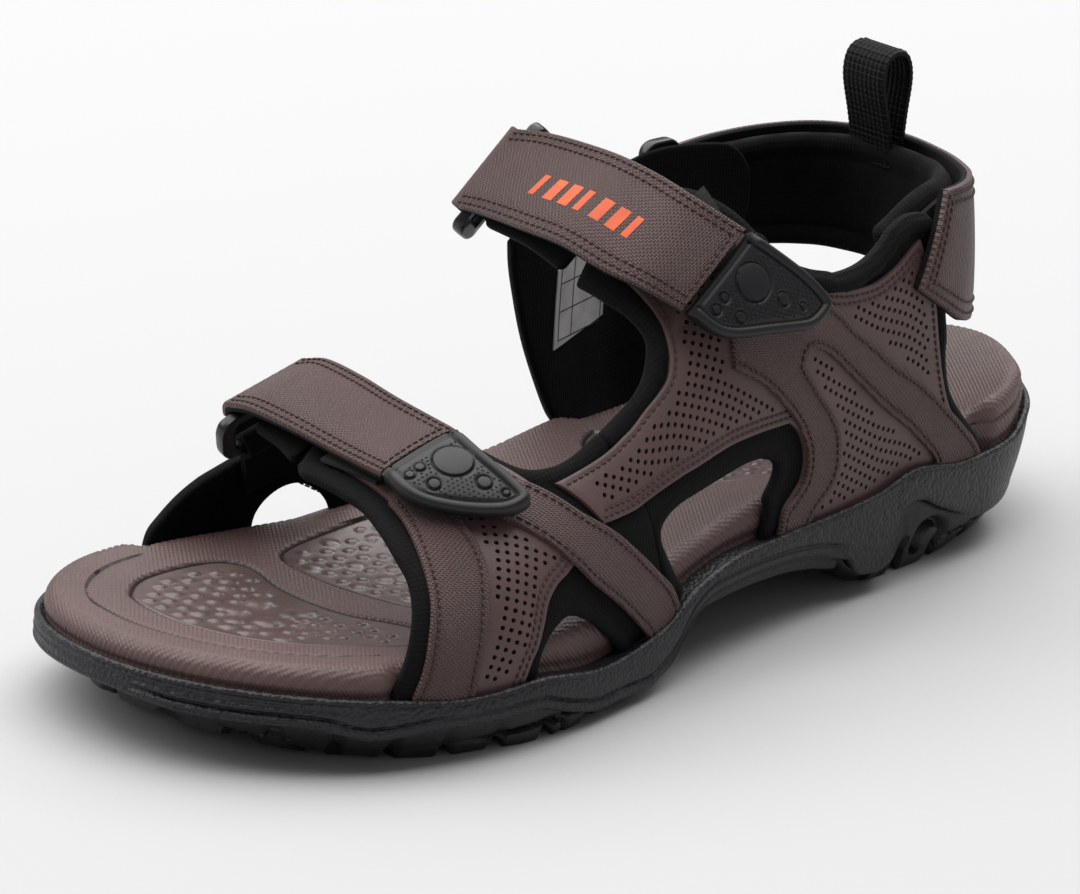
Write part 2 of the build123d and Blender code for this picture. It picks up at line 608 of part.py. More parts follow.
def ring(c, label):
    with BuildPart() as p:
        w, h, r = c.width / 2 + 2.6, ring_reach / 2, 3.2
        with BuildLine(c.ring_plane) as path:
            Line((-w + r, -h), (w - r, -h))
            CenterArc((w - r, -h + r), r, -90, 90)
            Line((w, -h + r), (w, h - r))
            CenterArc((w - r, h - r), r, 0, 90)
            Line((w - r, h), (-w + r, h))
            CenterArc((-w + r, h - r), r, 90, 90)
            Line((-w, h - r), (-w, -h + r))
            CenterArc((-w + r, -h + r), r, 180, 90)
        with BuildSketch(Plane(origin=path.line @ 0, z_dir=path.line % 0)):
            Circle(ring_wire)
        sweep()
    p.part.label = label
    return p


def keeper(c, route, width, label):
    """Webbing loop round a ring's inner bar, with a leg that is sewn down."""
    with BuildPart() as p:
        with BuildSketch(c.at_hinge):
            with BuildLine():
                Polyline(*route)
            trace(line_width=2.0)
            Circle(ring_wire + ring_clear + 1.6)
        extrude(amount=width / 2, both=True)
        with BuildSketch(c.at_hinge):
            Circle(ring_wire + ring_clear)
        extrude(amount=width, both=True, mode=Mode.SUBTRACT)
    p.part.label = label
    return p


# front strap
front = Closure([P(-42, -76.5, 58.2), P(-34, -77.5, 59.6), P(-19, -79, 59.6), P(0, -81, 58.8), P(15.5, -83, 58.8),
                 P(16.2, -83, 58.7), P(27, -84.5, 56), P(35, -77, 52.8), P(43, -67.5, 52.5)],
                [P(-38.5, -54.5, 65.2), P(-31, -54.5, 67), P(-16, -58, 67.8), P(-1, -61, 67.2), P(17.5, -61, 64.8),
                 P(18.2, -61, 64.7), P(28, -62, 62), P(37, -61.3, 58.3), P(44.5, -61.5, 55.2)], (-0.45, -0.89))
# ankle strap
ankle = Closure([P(-35, -10, 94.3), P(-25, -11.5, 95.5), P(-9, -14, 96.5), P(5, -15, 96.5), P(17, -14, 93.5), P(27, -10.5, 90.5), P(34.3, -4, 85.2),
                 P(35, -3, 84.3), P(40, 4, 78), P(43, 18, 76.5), P(44.3, 31, 75)],
                [P(-29.5, 4.5, 112), P(-20, 6, 113), P(-8, 6.5, 113.3), P(3, 7.5, 112.6), P(14, 9, 110.3), P(23, 11, 107), P(32.3, 19, 99.7),
                 P(33, 20, 99), P(36.5, 26, 94), P(40.5, 33.5, 87), P(43.5, 39, 79.5)], (-0.5, -0.87))
# heel strap: upper and lower edges run from the ring round the back to the outer side
heel = Closure([P(-46, 73, 89), P(-45, 89.5, 90), P(-39.5, 105, 91), P(-30, 117, 91.5), P(-12, 123, 92), P(7, 119.2, 92.5), P(22.5, 110, 94), P(30.5, 102, 95), P(34.5, 94.5, 95.5), P(36.3, 86.5, 96)],
              [P(-46.5, 73, 65), P(-45.5, 90, 64), P(-40, 106, 63), P(-30.5, 118.5, 61.5), P(-12, 124.6, 60), P(9, 120.5, 58), P(26, 110, 57), P(35.5, 96.5, 60.5), P(39, 84, 68), P(39.8, 75, 74)], (-1, 0.02))

front_strap = strap_face(front, 5, "front_strap")
front_strap_lining = strap_back(front, 5, "front_strap_lining")
ankle_strap = strap_face(ankle, 7, "ankle_strap")
ankle_strap_lining = strap_back(ankle, 7, "ankle_strap_lining")
heel_strap = strap_face(heel, 10, "heel_strap")
heel_strap_lining = strap_back(heel, 10, "heel_strap_lining")

front_ring = ring(front, "front_ring")
ankle_ring = ring(ankle, "ankle_ring")
heel_ring = ring(heel, "heel_ring")

front_ring_keeper = keeper(front, [(0, 0), (-2.6, -5.5), (-7.5, -14)], 20, "front_ring_keeper")
ankle_ring_keeper = keeper(ankle, [(0, 0), (-3.0, -5), (-3.4, -11)], 19, "ankle_ring_keeper")
heel_ring_keeper = keeper(heel, [(0, 0), (-3.5, 3.4), (-12, 5.2)], 19, "heel_ring_keeper")

# moulded tabs on the strap ends
tab_low, tab_high = -3.0, 0.6
with BuildPart() as front_strap_tab:
    thicken(band_face(sub(front.low, 5, 9), sub(front.high, 5, 9), tab_low, amount=tab_thick), amount=tab_thick)
with BuildPart() as ankle_strap_tab:
    thicken(band_face(sub(ankle.low, 7, 11), sub(ankle.high, 7, 11), tab_low, amount=tab_thick), amount=tab_thick)

# hook patches under the strap ends, loop patches facing them
hook_off = -strap_face_thick - strap_lining_thick - 0.2 - patch_thick + 0.2
with BuildPart() as front_hook_patch:
    thicken(band_face(sub(front.low, 3, 5), sub(front.high, 3, 5), hook_off - 0.05, trim=3, amount=patch_thick - 0.2), amount=patch_thick - 0.2)
with BuildPart() as front_loop_patch:
    thicken(skin_face(-79, -62, 70, 98, 0.1, 8, 8, amount=patch_thick - 0.2), amount=patch_thick - 0.2)
with BuildPart() as ankle_hook_patch:
    thicken(band_face(sub(ankle.low, 3, 6), sub(ankle.high, 3, 6), hook_off - 0.05, trim=3, amount=patch_thick - 0.2), amount=patch_thick - 0.2)
with BuildPart() as ankle_loop_patch:
    thicken(skin_face(1, 20, 64, 76, 0.1, 8, 8, amount=patch_thick - 0.2), amount=patch_thick - 0.2)
with BuildPart() as heel_hook_patch:
    thicken(band_face(sub(heel.low, 7, 9), sub(heel.high, 7, 9), hook_off - 0.05, trim=3, amount=patch_thick - 0.2), amount=patch_thick - 0.2)

# fixed straps that come out of the upper and pass through the rings
with BuildPart() as front_strap_base:
    thicken(band_face([P(-34.5, -75.5, 54.2), P(-25, -77, 53.2), P(-17.2, -79, 51.6)],
                      [P(-31.5, -57, 61.0), P(-24, -58.5, 60.0), P(-16.8, -60, 58.0)], -2.2, crown=0.3, amount=2.2), amount=2.2)
with BuildPart() as ankle_strap_base:
    thicken(band_face([P(-27.5, -8.5, 91.5), P(-12, -9.5, 90.5), P(0.5, -10, 87.5)],
                      [P(-23, 5.5, 107), P(-10, 7.5, 106.5), P(2.0, 9.5, 102.5)], -2.2, crown=0.3, amount=2.2), amount=2.2)

# padded collar round the heel; it is the fixed part of the heel strap
collar_low = [P(-38, 81.5, 63), P(-36.5, 91, 62), P(-33, 101.5, 61.5), P(-25, 111, 61), P(-12, 116, 60), P(4, 114, 58), P(17, 107, 57), P(25.5, 96.5, 57), P(28.8, 84, 62), P(28.6, 70, 70)]
collar_high = [P(-37.5, 81.5, 90), P(-36, 90, 90), P(-32.5, 100.5, 90.5), P(-24.5, 109.5, 91), P(-12, 114, 91.5), P(3.5, 112.5, 92), P(16, 106, 93.5), P(24, 96, 94.5), P(27, 84, 93.5), P(27, 71, 87)]
with BuildPart() as heel_collar:
    thicken(band_face(collar_high, collar_low, -collar_thick / 2, crown=1.2, amount=collar_thick), amount=collar_thick)

# loop-faced wing of the quarter that the heel strap closes on
with BuildPart() as heel_loop_wing:
    thicken(band_face([P(27.4, 99, 91.5), P(30.4, 91, 92), P(32.6, 81, 90), P(33.4, 73, 85)],
                      [P(28.9, 99, 63), P(32.4, 89, 67), P(34.2, 79.5, 73), P(34.4, 73, 77)], -0.9, crown=0.4, amount=0.9), amount=0.9)

# pull tab: a loop of webbing astride the collar's top edge at the back
with BuildPart() as pull_tab:
    at_back = Plane(origin=(-12 + ax, 115.2, 91), x_dir=(0.05, 1, 0.06), z_dir=(1, -0.05, 0))
    with BuildSketch(at_back):
        with BuildLine():
            Spline((-4.9, -11), (-4.9, -3), (-3.4, 7), (-4.6, 17), (-3.2, 22.6), (0.4, 24.2), (3.8, 22.4),
                   (4.9, 17), (3.3, 8), (3.4, 2.4))
        trace(line_width=pull_thick)
    extrude(amount=pull_width / 2, both=True)

# ------------------------------------------------------------ clearances where pieces meet
with BuildPart() as heel_strap_room:
    thicken(band_face(sub(heel.low, 6, 10), sub(heel.high, 6, 10), -4.7, trim=-0.6, amount=5.3), amount=5.3)


def clear_of(piece, *others):
    """Cuts a piece back where it meets others and keeps its main body."""
    with BuildPart() as p:
        add(piece.part)
        for other in others:
            add(other.part, mode=Mode.SUBTRACT)
    return p


vamp_lining = clear_of(vamp_lining, midsole, footbed)
vamp_panel = clear_of(vamp_panel, midsole)
quarter_lining = clear_of(quarter_lining, midsole, footbed, heel_strap_room)
quarter_panel = clear_of(quarter_panel, midsole, heel_strap_room)
inner_vamp_lining = clear_of(inner_vamp_lining, midsole, footbed)
front_ring_keeper = clear_of(front_ring_keeper, inner_vamp_lining, inner_vamp_overlay)
front_strap_base = clear_of(front_strap_base, vamp_lining)
ankle_strap_base = clear_of(ankle_strap_base, quarter_lining)
heel_loop_wing = clear_of(heel_loop_wing, quarter_lining, quarter_panel, heel_collar)
heel_collar = clear_of(heel_collar, pull_tab)
front_strap_lining = clear_of(front_strap_lining, front_strap)
ankle_strap_lining = clear_of(ankle_strap_lining, ankle_strap)
heel_strap_lining = clear_of(heel_strap_lining, heel_strap)

# ------------------------------------------------------------ write the pieces
pieces = {
    "outsole_forefoot": outsole_forefoot, "outsole_heel": outsole_heel, "midsole": midsole, "footbed": footbed,
    "vamp_lining": vamp_lining, "vamp_panel": vamp_panel, "vamp_overlay": vamp_overlay, "diagonal_overlay": diagonal_overlay,
    "quarter_lining": quarter_lining, "quarter_panel": quarter_panel, "quarter_overlay": quarter_overlay,
    "inner_vamp_lining": inner_vamp_lining, "inner_vamp_overlay": inner_vamp_overlay,
    "inner_quarter_lining": inner_quarter_lining, "inner_quarter_panel": inner_quarter_panel,
    "inner_quarter_overlay": inner_quarter_overlay, "size_label": size_label,
    "front_strap": front_strap, "front_strap_lining": front_strap_lining, "front_strap_tab": front_strap_tab,
    "front_hook_patch": front_hook_patch, "front_loop_patch": front_loop_patch, "front_strap_base": front_strap_base,
    "front_ring": front_ring, "front_ring_keeper": front_ring_keeper,
    "ankle_strap": ankle_strap, "ankle_strap_lining": ankle_strap_lining, "ankle_strap_tab": ankle_strap_tab,
    "ankle_hook_patch": ankle_hook_patch, "ankle_loop_patch": ankle_loop_patch, "ankle_strap_base": ankle_strap_base,
    "ankle_ring": ankle_ring, "ankle_ring_keeper": ankle_ring_keeper,
    "heel_collar": heel_collar, "heel_strap": heel_strap, "heel_strap_lining": heel_strap_lining,
    "heel_hook_patch": heel_hook_patch, "heel_loop_wing": heel_loop_wing, "heel_ring": heel_ring,
    "heel_ring_keeper": heel_ring_keeper, "pull_tab": pull_tab,
}
os.makedirs("parts", exist_ok=True)
for name, piece in pieces.items():
    solids = sorted(piece.part.solids(), key=lambda s: -s.volume)
    solids[0].label = name
    export_step(solids[0], "parts/" + name + ".step")
    if len(solids) > 1:
        print(name, "left out", [round(s.volume, 2) for s in solids[1:]])

for c, name in ((front, "front"), (ankle, "ankle"), (heel, "heel")):
    print(name, "bar", [round(v, 3) for v in c.bar], "hinge", [round(v, 3) for v in c.hinge],
          "d", [round(v, 5) for v in c.d], "u", [round(v, 3) for v in c.u], "n", [round(v, 3) for v in c.n], "width", round(c.width, 2))
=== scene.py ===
import json
import math
import bpy
import numpy as np
from mathutils import Matrix, Vector
from mathutils.geometry import delaunay_2d_cdt

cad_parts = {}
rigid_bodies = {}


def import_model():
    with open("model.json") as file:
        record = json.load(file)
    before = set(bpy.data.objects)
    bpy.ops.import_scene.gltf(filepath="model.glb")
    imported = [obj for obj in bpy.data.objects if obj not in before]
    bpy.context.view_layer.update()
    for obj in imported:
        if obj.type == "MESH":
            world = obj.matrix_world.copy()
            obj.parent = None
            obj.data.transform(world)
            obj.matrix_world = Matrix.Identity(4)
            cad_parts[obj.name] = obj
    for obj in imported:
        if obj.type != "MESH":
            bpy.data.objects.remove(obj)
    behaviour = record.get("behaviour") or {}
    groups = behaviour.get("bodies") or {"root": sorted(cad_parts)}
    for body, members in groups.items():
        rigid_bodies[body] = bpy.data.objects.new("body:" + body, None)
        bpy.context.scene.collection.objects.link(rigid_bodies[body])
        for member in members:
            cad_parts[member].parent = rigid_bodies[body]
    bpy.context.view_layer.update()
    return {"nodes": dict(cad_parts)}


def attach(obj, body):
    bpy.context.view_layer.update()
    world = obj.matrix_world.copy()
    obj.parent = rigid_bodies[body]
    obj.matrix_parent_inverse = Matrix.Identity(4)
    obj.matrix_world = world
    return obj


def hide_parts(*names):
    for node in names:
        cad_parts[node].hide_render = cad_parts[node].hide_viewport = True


for _o in list(bpy.data.objects):
    bpy.data.objects.remove(_o)
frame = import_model()
MM = 0.001
AX = 1.56
RNG = np.random.default_rng(7)

# ---------------------------------------------------------------- camera, lights
az, el, roll = math.radians(43.619), math.radians(20.168), math.radians(2.160)
back = Vector((math.sin(az) * math.cos(el), -math.cos(az) * math.cos(el), math.sin(el)))
r0 = Vector((math.cos(az), math.sin(az), 0))
u0 = back.cross(r0)
r2 = r0 * math.cos(roll) + u0 * math.sin(roll)
u2 = -r0 * math.sin(roll) + u0 * math.cos(roll)
loc = (Vector((11.2248 + AX, -26.0332, 50.0)) + back * 1574.004) * MM
cam = bpy.data.cameras.new("camera")
cam.sensor_fit = "HORIZONTAL"
cam.sensor_width = 36.0
cam.lens = 6733.894 / 1080 * 36.0
cam.clip_start, cam.clip_end = 0.05, 50
cam_ob = bpy.data.objects.new("camera", cam)
bpy.context.scene.collection.objects.link(cam_ob)
m = Matrix.Identity(4)
for i, v in enumerate((r2, u2, back)):
    for j in range(3):
        m[j][i] = v[j]
for j in range(3):
    m[j][3] = loc[j]
cam_ob.matrix_world = m
bpy.context.scene.camera = cam_ob
bpy.context.scene.view_settings.view_transform = "Standard"

world = bpy.data.worlds.new("studio")
bpy.context.scene.world = world
world.use_nodes = True
world.node_tree.nodes["Background"].inputs[0].default_value = (0.97, 0.98, 1.0, 1)
world.node_tree.nodes["Background"].inputs[1].default_value = 0.25


def area(name, at, aim, size, power, color=(1, 1, 1)):
    d = bpy.data.lights.new(name, "AREA")
    d.shape = "RECTANGLE"
    d.size, d.size_y = size
    d.energy = power
    d.color = color
    o = bpy.data.objects.new(name, d)
    bpy.context.scene.collection.objects.link(o)
    o.location = at
    o.rotation_euler = (Vector(aim) - Vector(at)).to_track_quat("-Z", "Y").to_euler()
    return o


area("overhead", (-0.8, 0.3, 2.4), (-0.25, 0, 0), (4.2, 4.2), 165.0)
area("key", (-1.25, -1.15, 1.15), (0, -0.02, 0.06), (0.9, 0.9), 11.0)
area("rim", (-0.3, 1.6, 1.1), (0, 0, 0.06), (1.2, 0.5), 7.0)


def new_obj(name, verts, faces, uv=None, smooth=40.0):
    """verts in mm; faces as a list of index tuples; uv per vertex in mm."""
    me = bpy.data.meshes.new(name)
    me.from_pydata((np.asarray(verts, float) * MM).tolist(), [], [tuple(int(i) for i in f) for f in faces])
    me.validate(clean_customdata=False)
    if uv is not None:
        lay = me.uv_layers.new(name="mm")
        uv = np.asarray(uv, float)
        li = np.zeros(len(me.loops), int)
        me.loops.foreach_get("vertex_index", li)
        lay.data.foreach_set("uv", (uv[li] * 0.01).astype(np.float32).ravel())
    me.polygons.foreach_set("use_smooth", [True] * len(me.polygons))
    if smooth:
        me.set_sharp_from_angle(angle=math.radians(smooth))
    me.update()
    ob = bpy.data.objects.new(name, me)
    bpy.context.scene.collection.objects.link(ob)
    return ob


# ---------------------------------------------------------------- materials
def mat(name):
    m = bpy.data.materials.new(name)
    m.use_nodes = True
    nt = m.node_tree
    b = nt.nodes["Principled BSDF"]
    return m, nt, b


def node(nt, kind, **kw):
    n = nt.nodes.new(kind)
    for k, v in kw.items():
        if k in n.bl_rna.properties.keys():
            setattr(n, k, v)
        else:
            n.inputs[k].default_value = v
    return n


def math_node(nt, op, a, b=None, c=None):
    n = nt.nodes.new("ShaderNodeMath")
    n.operation = op
    for i, v in enumerate((a, b, c)):
        if v is None:
            continue
        if isinstance(v, (int, float)):
            n.inputs[i].default_value = v
        else:
            nt.links.new(v, n.inputs[i])
    return n.outputs[0]


def noise(nt, vec, scale, detail=3.0, rough=0.55):
    n = nt.nodes.new("ShaderNodeTexNoise")
    n.inputs["Scale"].default_value = scale
    n.inputs["Detail"].default_value = detail
    n.inputs["Roughness"].default_value = rough
    nt.links.new(vec, n.inputs["Vector"])
    return n.outputs["Fac"]


def ramp(nt, fac, stops):
    n = nt.nodes.new("ShaderNodeValToRGB")
    nt.links.new(fac, n.inputs[0])
    e = n.color_ramp.elements
    while len(e) < len(stops):
        e.new(0.5)
    for i, (p, c) in enumerate(stops):
        e[i].position = p
        e[i].color = (*c, 1)
    return n.outputs[0]


def finish_mat(nt, b, height, strength, distance):
    n = nt.nodes.new("ShaderNodeBump")
    n.inputs["Strength"].default_value = strength
    n.inputs["Distance"].default_value = distance
    nt.links.new(height, n.inputs["Height"])
    nt.links.new(n.outputs[0], b.inputs["Normal"])


def coords(nt, uv=True):
    if uv:
        n = nt.nodes.new("ShaderNodeUVMap")
        n.uv_map = "mm"
        s = nt.nodes.new("ShaderNodeVectorMath")
        s.operation = "SCALE"
        s.inputs["Scale"].default_value = 100.0
        nt.links.new(n.outputs[0], s.inputs[0])
        return s.outputs[0]
    n = nt.nodes.new("ShaderNodeTexCoord")
    s = nt.nodes.new("ShaderNodeVectorMath")
    s.operation = "SCALE"
    s.inputs["Scale"].default_value = 1000.0
    nt.links.new(n.outputs["Object"], s.inputs[0])
    return s.outputs[0]


def split(nt, vec):
    n = nt.nodes.new("ShaderNodeSeparateXYZ")
    nt.links.new(vec, n.inputs[0])
    return n.outputs


def shade(c, k):
    return tuple(v * k for v in c)


def saffiano(name, color, pitch=1.05, rough=0.50):
    """Embossed synthetic leather: a fine slanted cross-hatch."""
    m, nt, b = mat(name)
    v = coords(nt)
    x, y, _ = split(nt, v)
    wob = noise(nt, v, 0.9, 2)
    wx = math_node(nt, "MULTIPLY_ADD", wob, 0.5, x)
    k = 2 * math.pi / pitch
    a = math_node(nt, "SINE", math_node(nt, "MULTIPLY", math_node(nt, "ADD", wx, math_node(nt, "MULTIPLY", y, 0.75)), k))
    c = math_node(nt, "SINE", math_node(nt, "MULTIPLY", math_node(nt, "SUBTRACT", math_node(nt, "MULTIPLY", wx, 0.55), y), k * 1.15))
    h = math_node(nt, "MULTIPLY_ADD", math_node(nt, "MULTIPLY", a, c), 0.35, math_node(nt, "MULTIPLY", a, 0.40))
    h = math_node(nt, "MULTIPLY_ADD", noise(nt, v, 3.2, 4), 0.35, h)
    big = noise(nt, v, 0.035, 4)
    fine = noise(nt, v, 1.6, 3)
    tone = math_node(nt, "MULTIPLY_ADD", fine, 0.25, math_node(nt, "MULTIPLY", big, 0.75))
    col = ramp(nt, tone, [(0.3, shade(color, 0.82)), (0.55, color), (0.75, shade(color, 1.22))])
    mix = nt.nodes.new("ShaderNodeMixRGB")
    mix.blend_type = "MULTIPLY"
    nt.links.new(math_node(nt, "MULTIPLY_ADD", h, -0.28, 0.12), mix.inputs[0])
    nt.links.new(col, mix.inputs[1])
    mix.inputs[2].default_value = (0.35, 0.32, 0.32, 1)
    nt.links.new(mix.outputs[0], b.inputs["Base Color"])
    nt.links.new(math_node(nt, "MULTIPLY_ADD", fine, 0.18, rough - 0.08), b.inputs["Roughness"])
    b.inputs["Specular IOR Level"].default_value = 0.42
    finish_mat(nt, b, h, 0.85, 0.00038)
    return m


def smooth_leather(name, color):
    m, nt, b = mat(name)
    v = coords(nt)
    n1 = noise(nt, v, 1.3, 5, 0.6)
    vo = nt.nodes.new("ShaderNodeTexVoronoi")
    vo.inputs["Scale"].default_value = 1.5
    nt.links.new(v, vo.inputs["Vector"])
    h = math_node(nt, "MULTIPLY_ADD", vo.outputs["Distance"], 0.6, n1)
    big = noise(nt, v, 0.05, 3)
    col = ramp(nt, big, [(0.3, shade(color, 0.85)), (0.7, shade(color, 1.18))])
    nt.links.new(col, b.inputs["Base Color"])
    nt.links.new(math_node(nt, "MULTIPLY_ADD", n1, 0.2, 0.40), b.inputs["Roughness"])
    finish_mat(nt, b, h, 0.35, 0.00018)
    return m


def knit(name, color, pitch=0.85, sheen=0.12):
    """Knit-faced neoprene."""
    m, nt, b = mat(name)
    v = coords(nt)
    x, y, _ = split(nt, v)
    k = 2 * math.pi / pitch
    a = math_node(nt, "ABSOLUTE", math_node(nt, "SINE", math_node(nt, "MULTIPLY", x, k / 2)))
    c = math_node(nt, "SINE", math_node(nt, "MULTIPLY_ADD", y, k * 0.8, math_node(nt, "MULTIPLY", a, 1.6)))
    h = math_node(nt, "MULTIPLY_ADD", c, 0.35, a)
    h = math_node(nt, "MULTIPLY_ADD", noise(nt, v, 2.0, 4), 0.9, h)
    fz = noise(nt, v, 0.6, 5, 0.7)
    col = ramp(nt, fz, [(0.3, shade(color, 0.7)), (0.6, color), (0.8, shade(color, 1.9))])
    nt.links.new(col, b.inputs["Base Color"])
    b.inputs["Roughness"].default_value = 0.85
    b.inputs["Sheen Weight"].default_value = sheen
    b.inputs["Sheen Roughness"].default_value = 0.45
    b.inputs["Sheen Tint"].default_value = (0.12, 0.12, 0.13, 1)
    b.inputs["Specular IOR Level"].default_value = 0.12
    finish_mat(nt, b, h, 0.4, 0.00018)
    return m


def pebbled(name, color, scale=0.85, rough=0.55, amount=0.00035, uv=False):
    m, nt, b = mat(name)
    v = coords(nt, uv)
    vo = nt.nodes.new("ShaderNodeTexVoronoi")
    vo.feature = "SMOOTH_F1"
    vo.inputs["Scale"].default_value = scale
    vo.inputs["Smoothness"].default_value = 0.35
    nt.links.new(v, vo.inputs["Vector"])
    n1 = noise(nt, v, 0.5, 4)
    n2 = noise(nt, v, 2.5, 3)
    h = math_node(nt, "MULTIPLY_ADD", vo.outputs["Distance"], -1.0, math_node(nt, "MULTIPLY_ADD", n1, 0.5, math_node(nt, "MULTIPLY", n2, 0.25)))
    big = noise(nt, v, 0.03, 4)
    col = ramp(nt, big, [(0.3, shade(color, 0.85)), (0.7, shade(color, 1.2))])
    nt.links.new(col, b.inputs["Base Color"])
    nt.links.new(math_node(nt, "MULTIPLY_ADD", n1, 0.2, rough - 0.1), b.inputs["Roughness"])
    b.inputs["Specular IOR Level"].default_value = 0.45
    finish_mat(nt, b, h, 0.6, amount)
    return m


def foam_brown(name, color):
    """Moulded footbed: a fine knit-like emboss of short dashes."""
    m, nt, b = mat(name)
    v = coords(nt, False)
    x, y, z = split(nt, v)
    k = 2 * math.pi
    row = math_node(nt, "MULTIPLY", math_node(nt, "ADD", y, math_node(nt, "MULTIPLY", z, 0.8)), k / 1.9)
    a = math_node(nt, "SINE", math_node(nt, "MULTIPLY_ADD", x, k / 1.5, math_node(nt, "MULTIPLY", row, 0.5)))
    c = math_node(nt, "SINE", row)
    h = math_node(nt, "MULTIPLY", a, c)
    h2 = math_node(nt, "MULTIPLY_ADD", noise(nt, v, 1.5, 3), 0.6, h)
    big = noise(nt, v, 0.02, 5)
    tone = math_node(nt, "MULTIPLY_ADD", h, 0.10, big)
    col = ramp(nt, tone, [(0.3, shade(color, 0.82)), (0.52, color), (0.75, shade(color, 1.2))])
    nt.links.new(col, b.inputs["Base Color"])
    nt.links.new(math_node(nt, "MULTIPLY_ADD", noise(nt, v, 0.2, 3), 0.2, 0.42), b.inputs["Roughness"])
    b.inputs["Specular IOR Level"].default_value = 0.4
    finish_mat(nt, b, h2, 0.45, 0.00022)
    return m


def webbing(name, color, axis=1, pitch=1.5):
    m, nt, b = mat(name)
    v = coords(nt)
    s = split(nt, v)
    k = 2 * math.pi
    rib = math_node(nt, "SINE", math_node(nt, "MULTIPLY", s[axis], k / pitch))
    w = math_node(nt, "SINE", math_node(nt, "MULTIPLY", s[1 - axis], k / 0.8))
    h = math_node(nt, "MULTIPLY_ADD", w, 0.3, rib)
    h = math_node(nt, "MULTIPLY_ADD", noise(nt, v, 2.0, 3), 0.5, h)
    col = ramp(nt, math_node(nt, "MULTIPLY_ADD", rib, 0.3, 0.5), [(0.2, shade(color, 0.5)), (0.8, shade(color, 1.5))])
    nt.links.new(col, b.inputs["Base Color"])
    b.inputs["Roughness"].default_value = 0.7
    b.inputs["Specular IOR Level"].default_value = 0.2
    finish_mat(nt, b, h, 0.6, 0.0003)
    return m


def rubber_grid(name, color, pitch=1.25):
    m, nt, b = mat(name)
    v = coords(nt)
    x, y, _ = split(nt, v)
    k = math.pi / pitch
    a = math_node(nt, "ABSOLUTE", math_node(nt, "SINE", math_node(nt, "MULTIPLY", math_node(nt, "ADD", x, y), k)))
    c = math_node(nt, "ABSOLUTE", math_node(nt, "SINE", math_node(nt, "MULTIPLY", math_node(nt, "SUBTRACT", x, y), k)))
    h = math_node(nt, "POWER", math_node(nt, "MULTIPLY", a, c), 0.6)
    col = ramp(nt, noise(nt, v, 0.3, 4), [(0.3, shade(color, 0.85)), (0.7, shade(color, 1.2))])
    nt.links.new(col, b.inputs["Base Color"])
    b.inputs["Roughness"].default_value = 0.5
    finish_mat(nt, b, h, 0.8, 0.0004)
    return m


def plain(name, color, rough=0.5, bump=0.00008, scale=1.5, uv=False, spec=0.45):
    m, nt, b = mat(name)
    v = coords(nt, uv)
    n1 = noise(nt, v, scale, 4)
    col = ramp(nt, noise(nt, v, 0.15, 4), [(0.3, shade(color, 0.85)), (0.7, shade(color, 1.2))])
    nt.links.new(col, b.inputs["Base Color"])
    nt.links.new(math_node(nt, "MULTIPLY_ADD", n1, 0.15, rough - 0.07), b.inputs["Roughness"])
    b.inputs["Specular IOR Level"].default_value = spec
    finish_mat(nt, b, n1, 0.5, bump)
    return m


BROWN = (0.092, 0.053, 0.049)
M_BROWN = saffiano("brown_leather", BROWN)
M_PERF = smooth_leather("perforated_leather", shade(BROWN, 0.95))
M_EDGE = plain("cut_edge", (0.10, 0.075, 0.07), 0.7, 0.0001, 2.0)
M_NEO = knit("neoprene", (0.0055, 0.0055, 0.0062), 1.0)
M_LOOP = knit("loop_tape", (0.0075, 0.0075, 0.008), 0.6, 0.3)
M_FUZZ = plain("hook_edge", (0.020, 0.020, 0.021), 0.9, 0.0006, 1.2)
M_MID = pebbled("midsole_foam", (0.0072, 0.0073, 0.0094), 0.95, 0.46, 0.00055)
M_TREAD = pebbled("tread_rubber", (0.0075, 0.0075, 0.009), 1.4, 0.5, 0.00015)
M_FOOT = foam_brown("footbed_foam", (0.102, 0.062, 0.057))
M_GLOSS = plain("footbed_domes", (0.088, 0.057, 0.053), 0.30, 0.00006, 0.8)
M_THREAD = plain("thread", (0.045, 0.020, 0.018), 0.6, 0.00005, 4.0)
M_BTHREAD = plain("black_thread", (0.012, 0.012, 0.012), 0.6, 0.00005, 4.0)
M_TAB = rubber_grid("tab_grid", (0.009, 0.0095, 0.011))
M_TABS = plain("tab_rubber", (0.0046, 0.0048, 0.0060), 0.5, 0.00003)
M_RING = plain("ring_plastic", (0.008, 0.008, 0.0095), 0.3, 0.00003)
M_WEB = webbing("webbing", (0.0045, 0.0045, 0.005))
M_LABEL = plain("label", (0.62, 0.62, 0.62), 0.7, 0.00006, 3.0)
# dark brown painted shade for the footbed's grooves
M_GROOVE_SHADE = plain("footbed_groove_painted_shade", (0.022, 0.014, 0.013), 0.7, 0.00005, 1.0)
M_CAD = plain("black_fabric", (0.006, 0.006, 0.0065), 0.85, 0.0002, 1.5, False, 0.12)
M_INK = plain("label_ink", (0.02, 0.02, 0.02), 0.7, 0.00002, 3.0)
M_ORANGE = plain("print", (0.62, 0.085, 0.012), 0.5, 0.00004, 2.0)


# ---------------------------------------------------------------- curves and the foot surface
def curve(xs, ys):
    xs, ys = np.asarray(xs, float), np.asarray(ys, float)
    h = np.diff(xs)
    m = np.diff(ys) / h
    d = np.empty(len(xs))
    d[0], d[-1] = m[0], m[-1]
    p = m[:-1] * m[1:]
    with np.errstate(divide="ignore", invalid="ignore"):
        d[1:-1] = np.where(p <= 0, 0, 2 * p / (m[:-1] + m[1:]))

    def f(x):
        x = np.asarray(x, float)
        i = np.clip(np.searchsorted(xs, x, side="right") - 1, 0, len(xs) - 2)
        t = np.clip((x - xs[i]) / h[i], 0, 1)
        return ((1 + 2 * t) * (1 - t) ** 2 * ys[i] + t * (1 - t) ** 2 * h[i] * d[i]
                + t * t * (3 - 2 * t) * ys[i + 1] + t * t * (t - 1) * h[i] * d[i + 1])
    return f


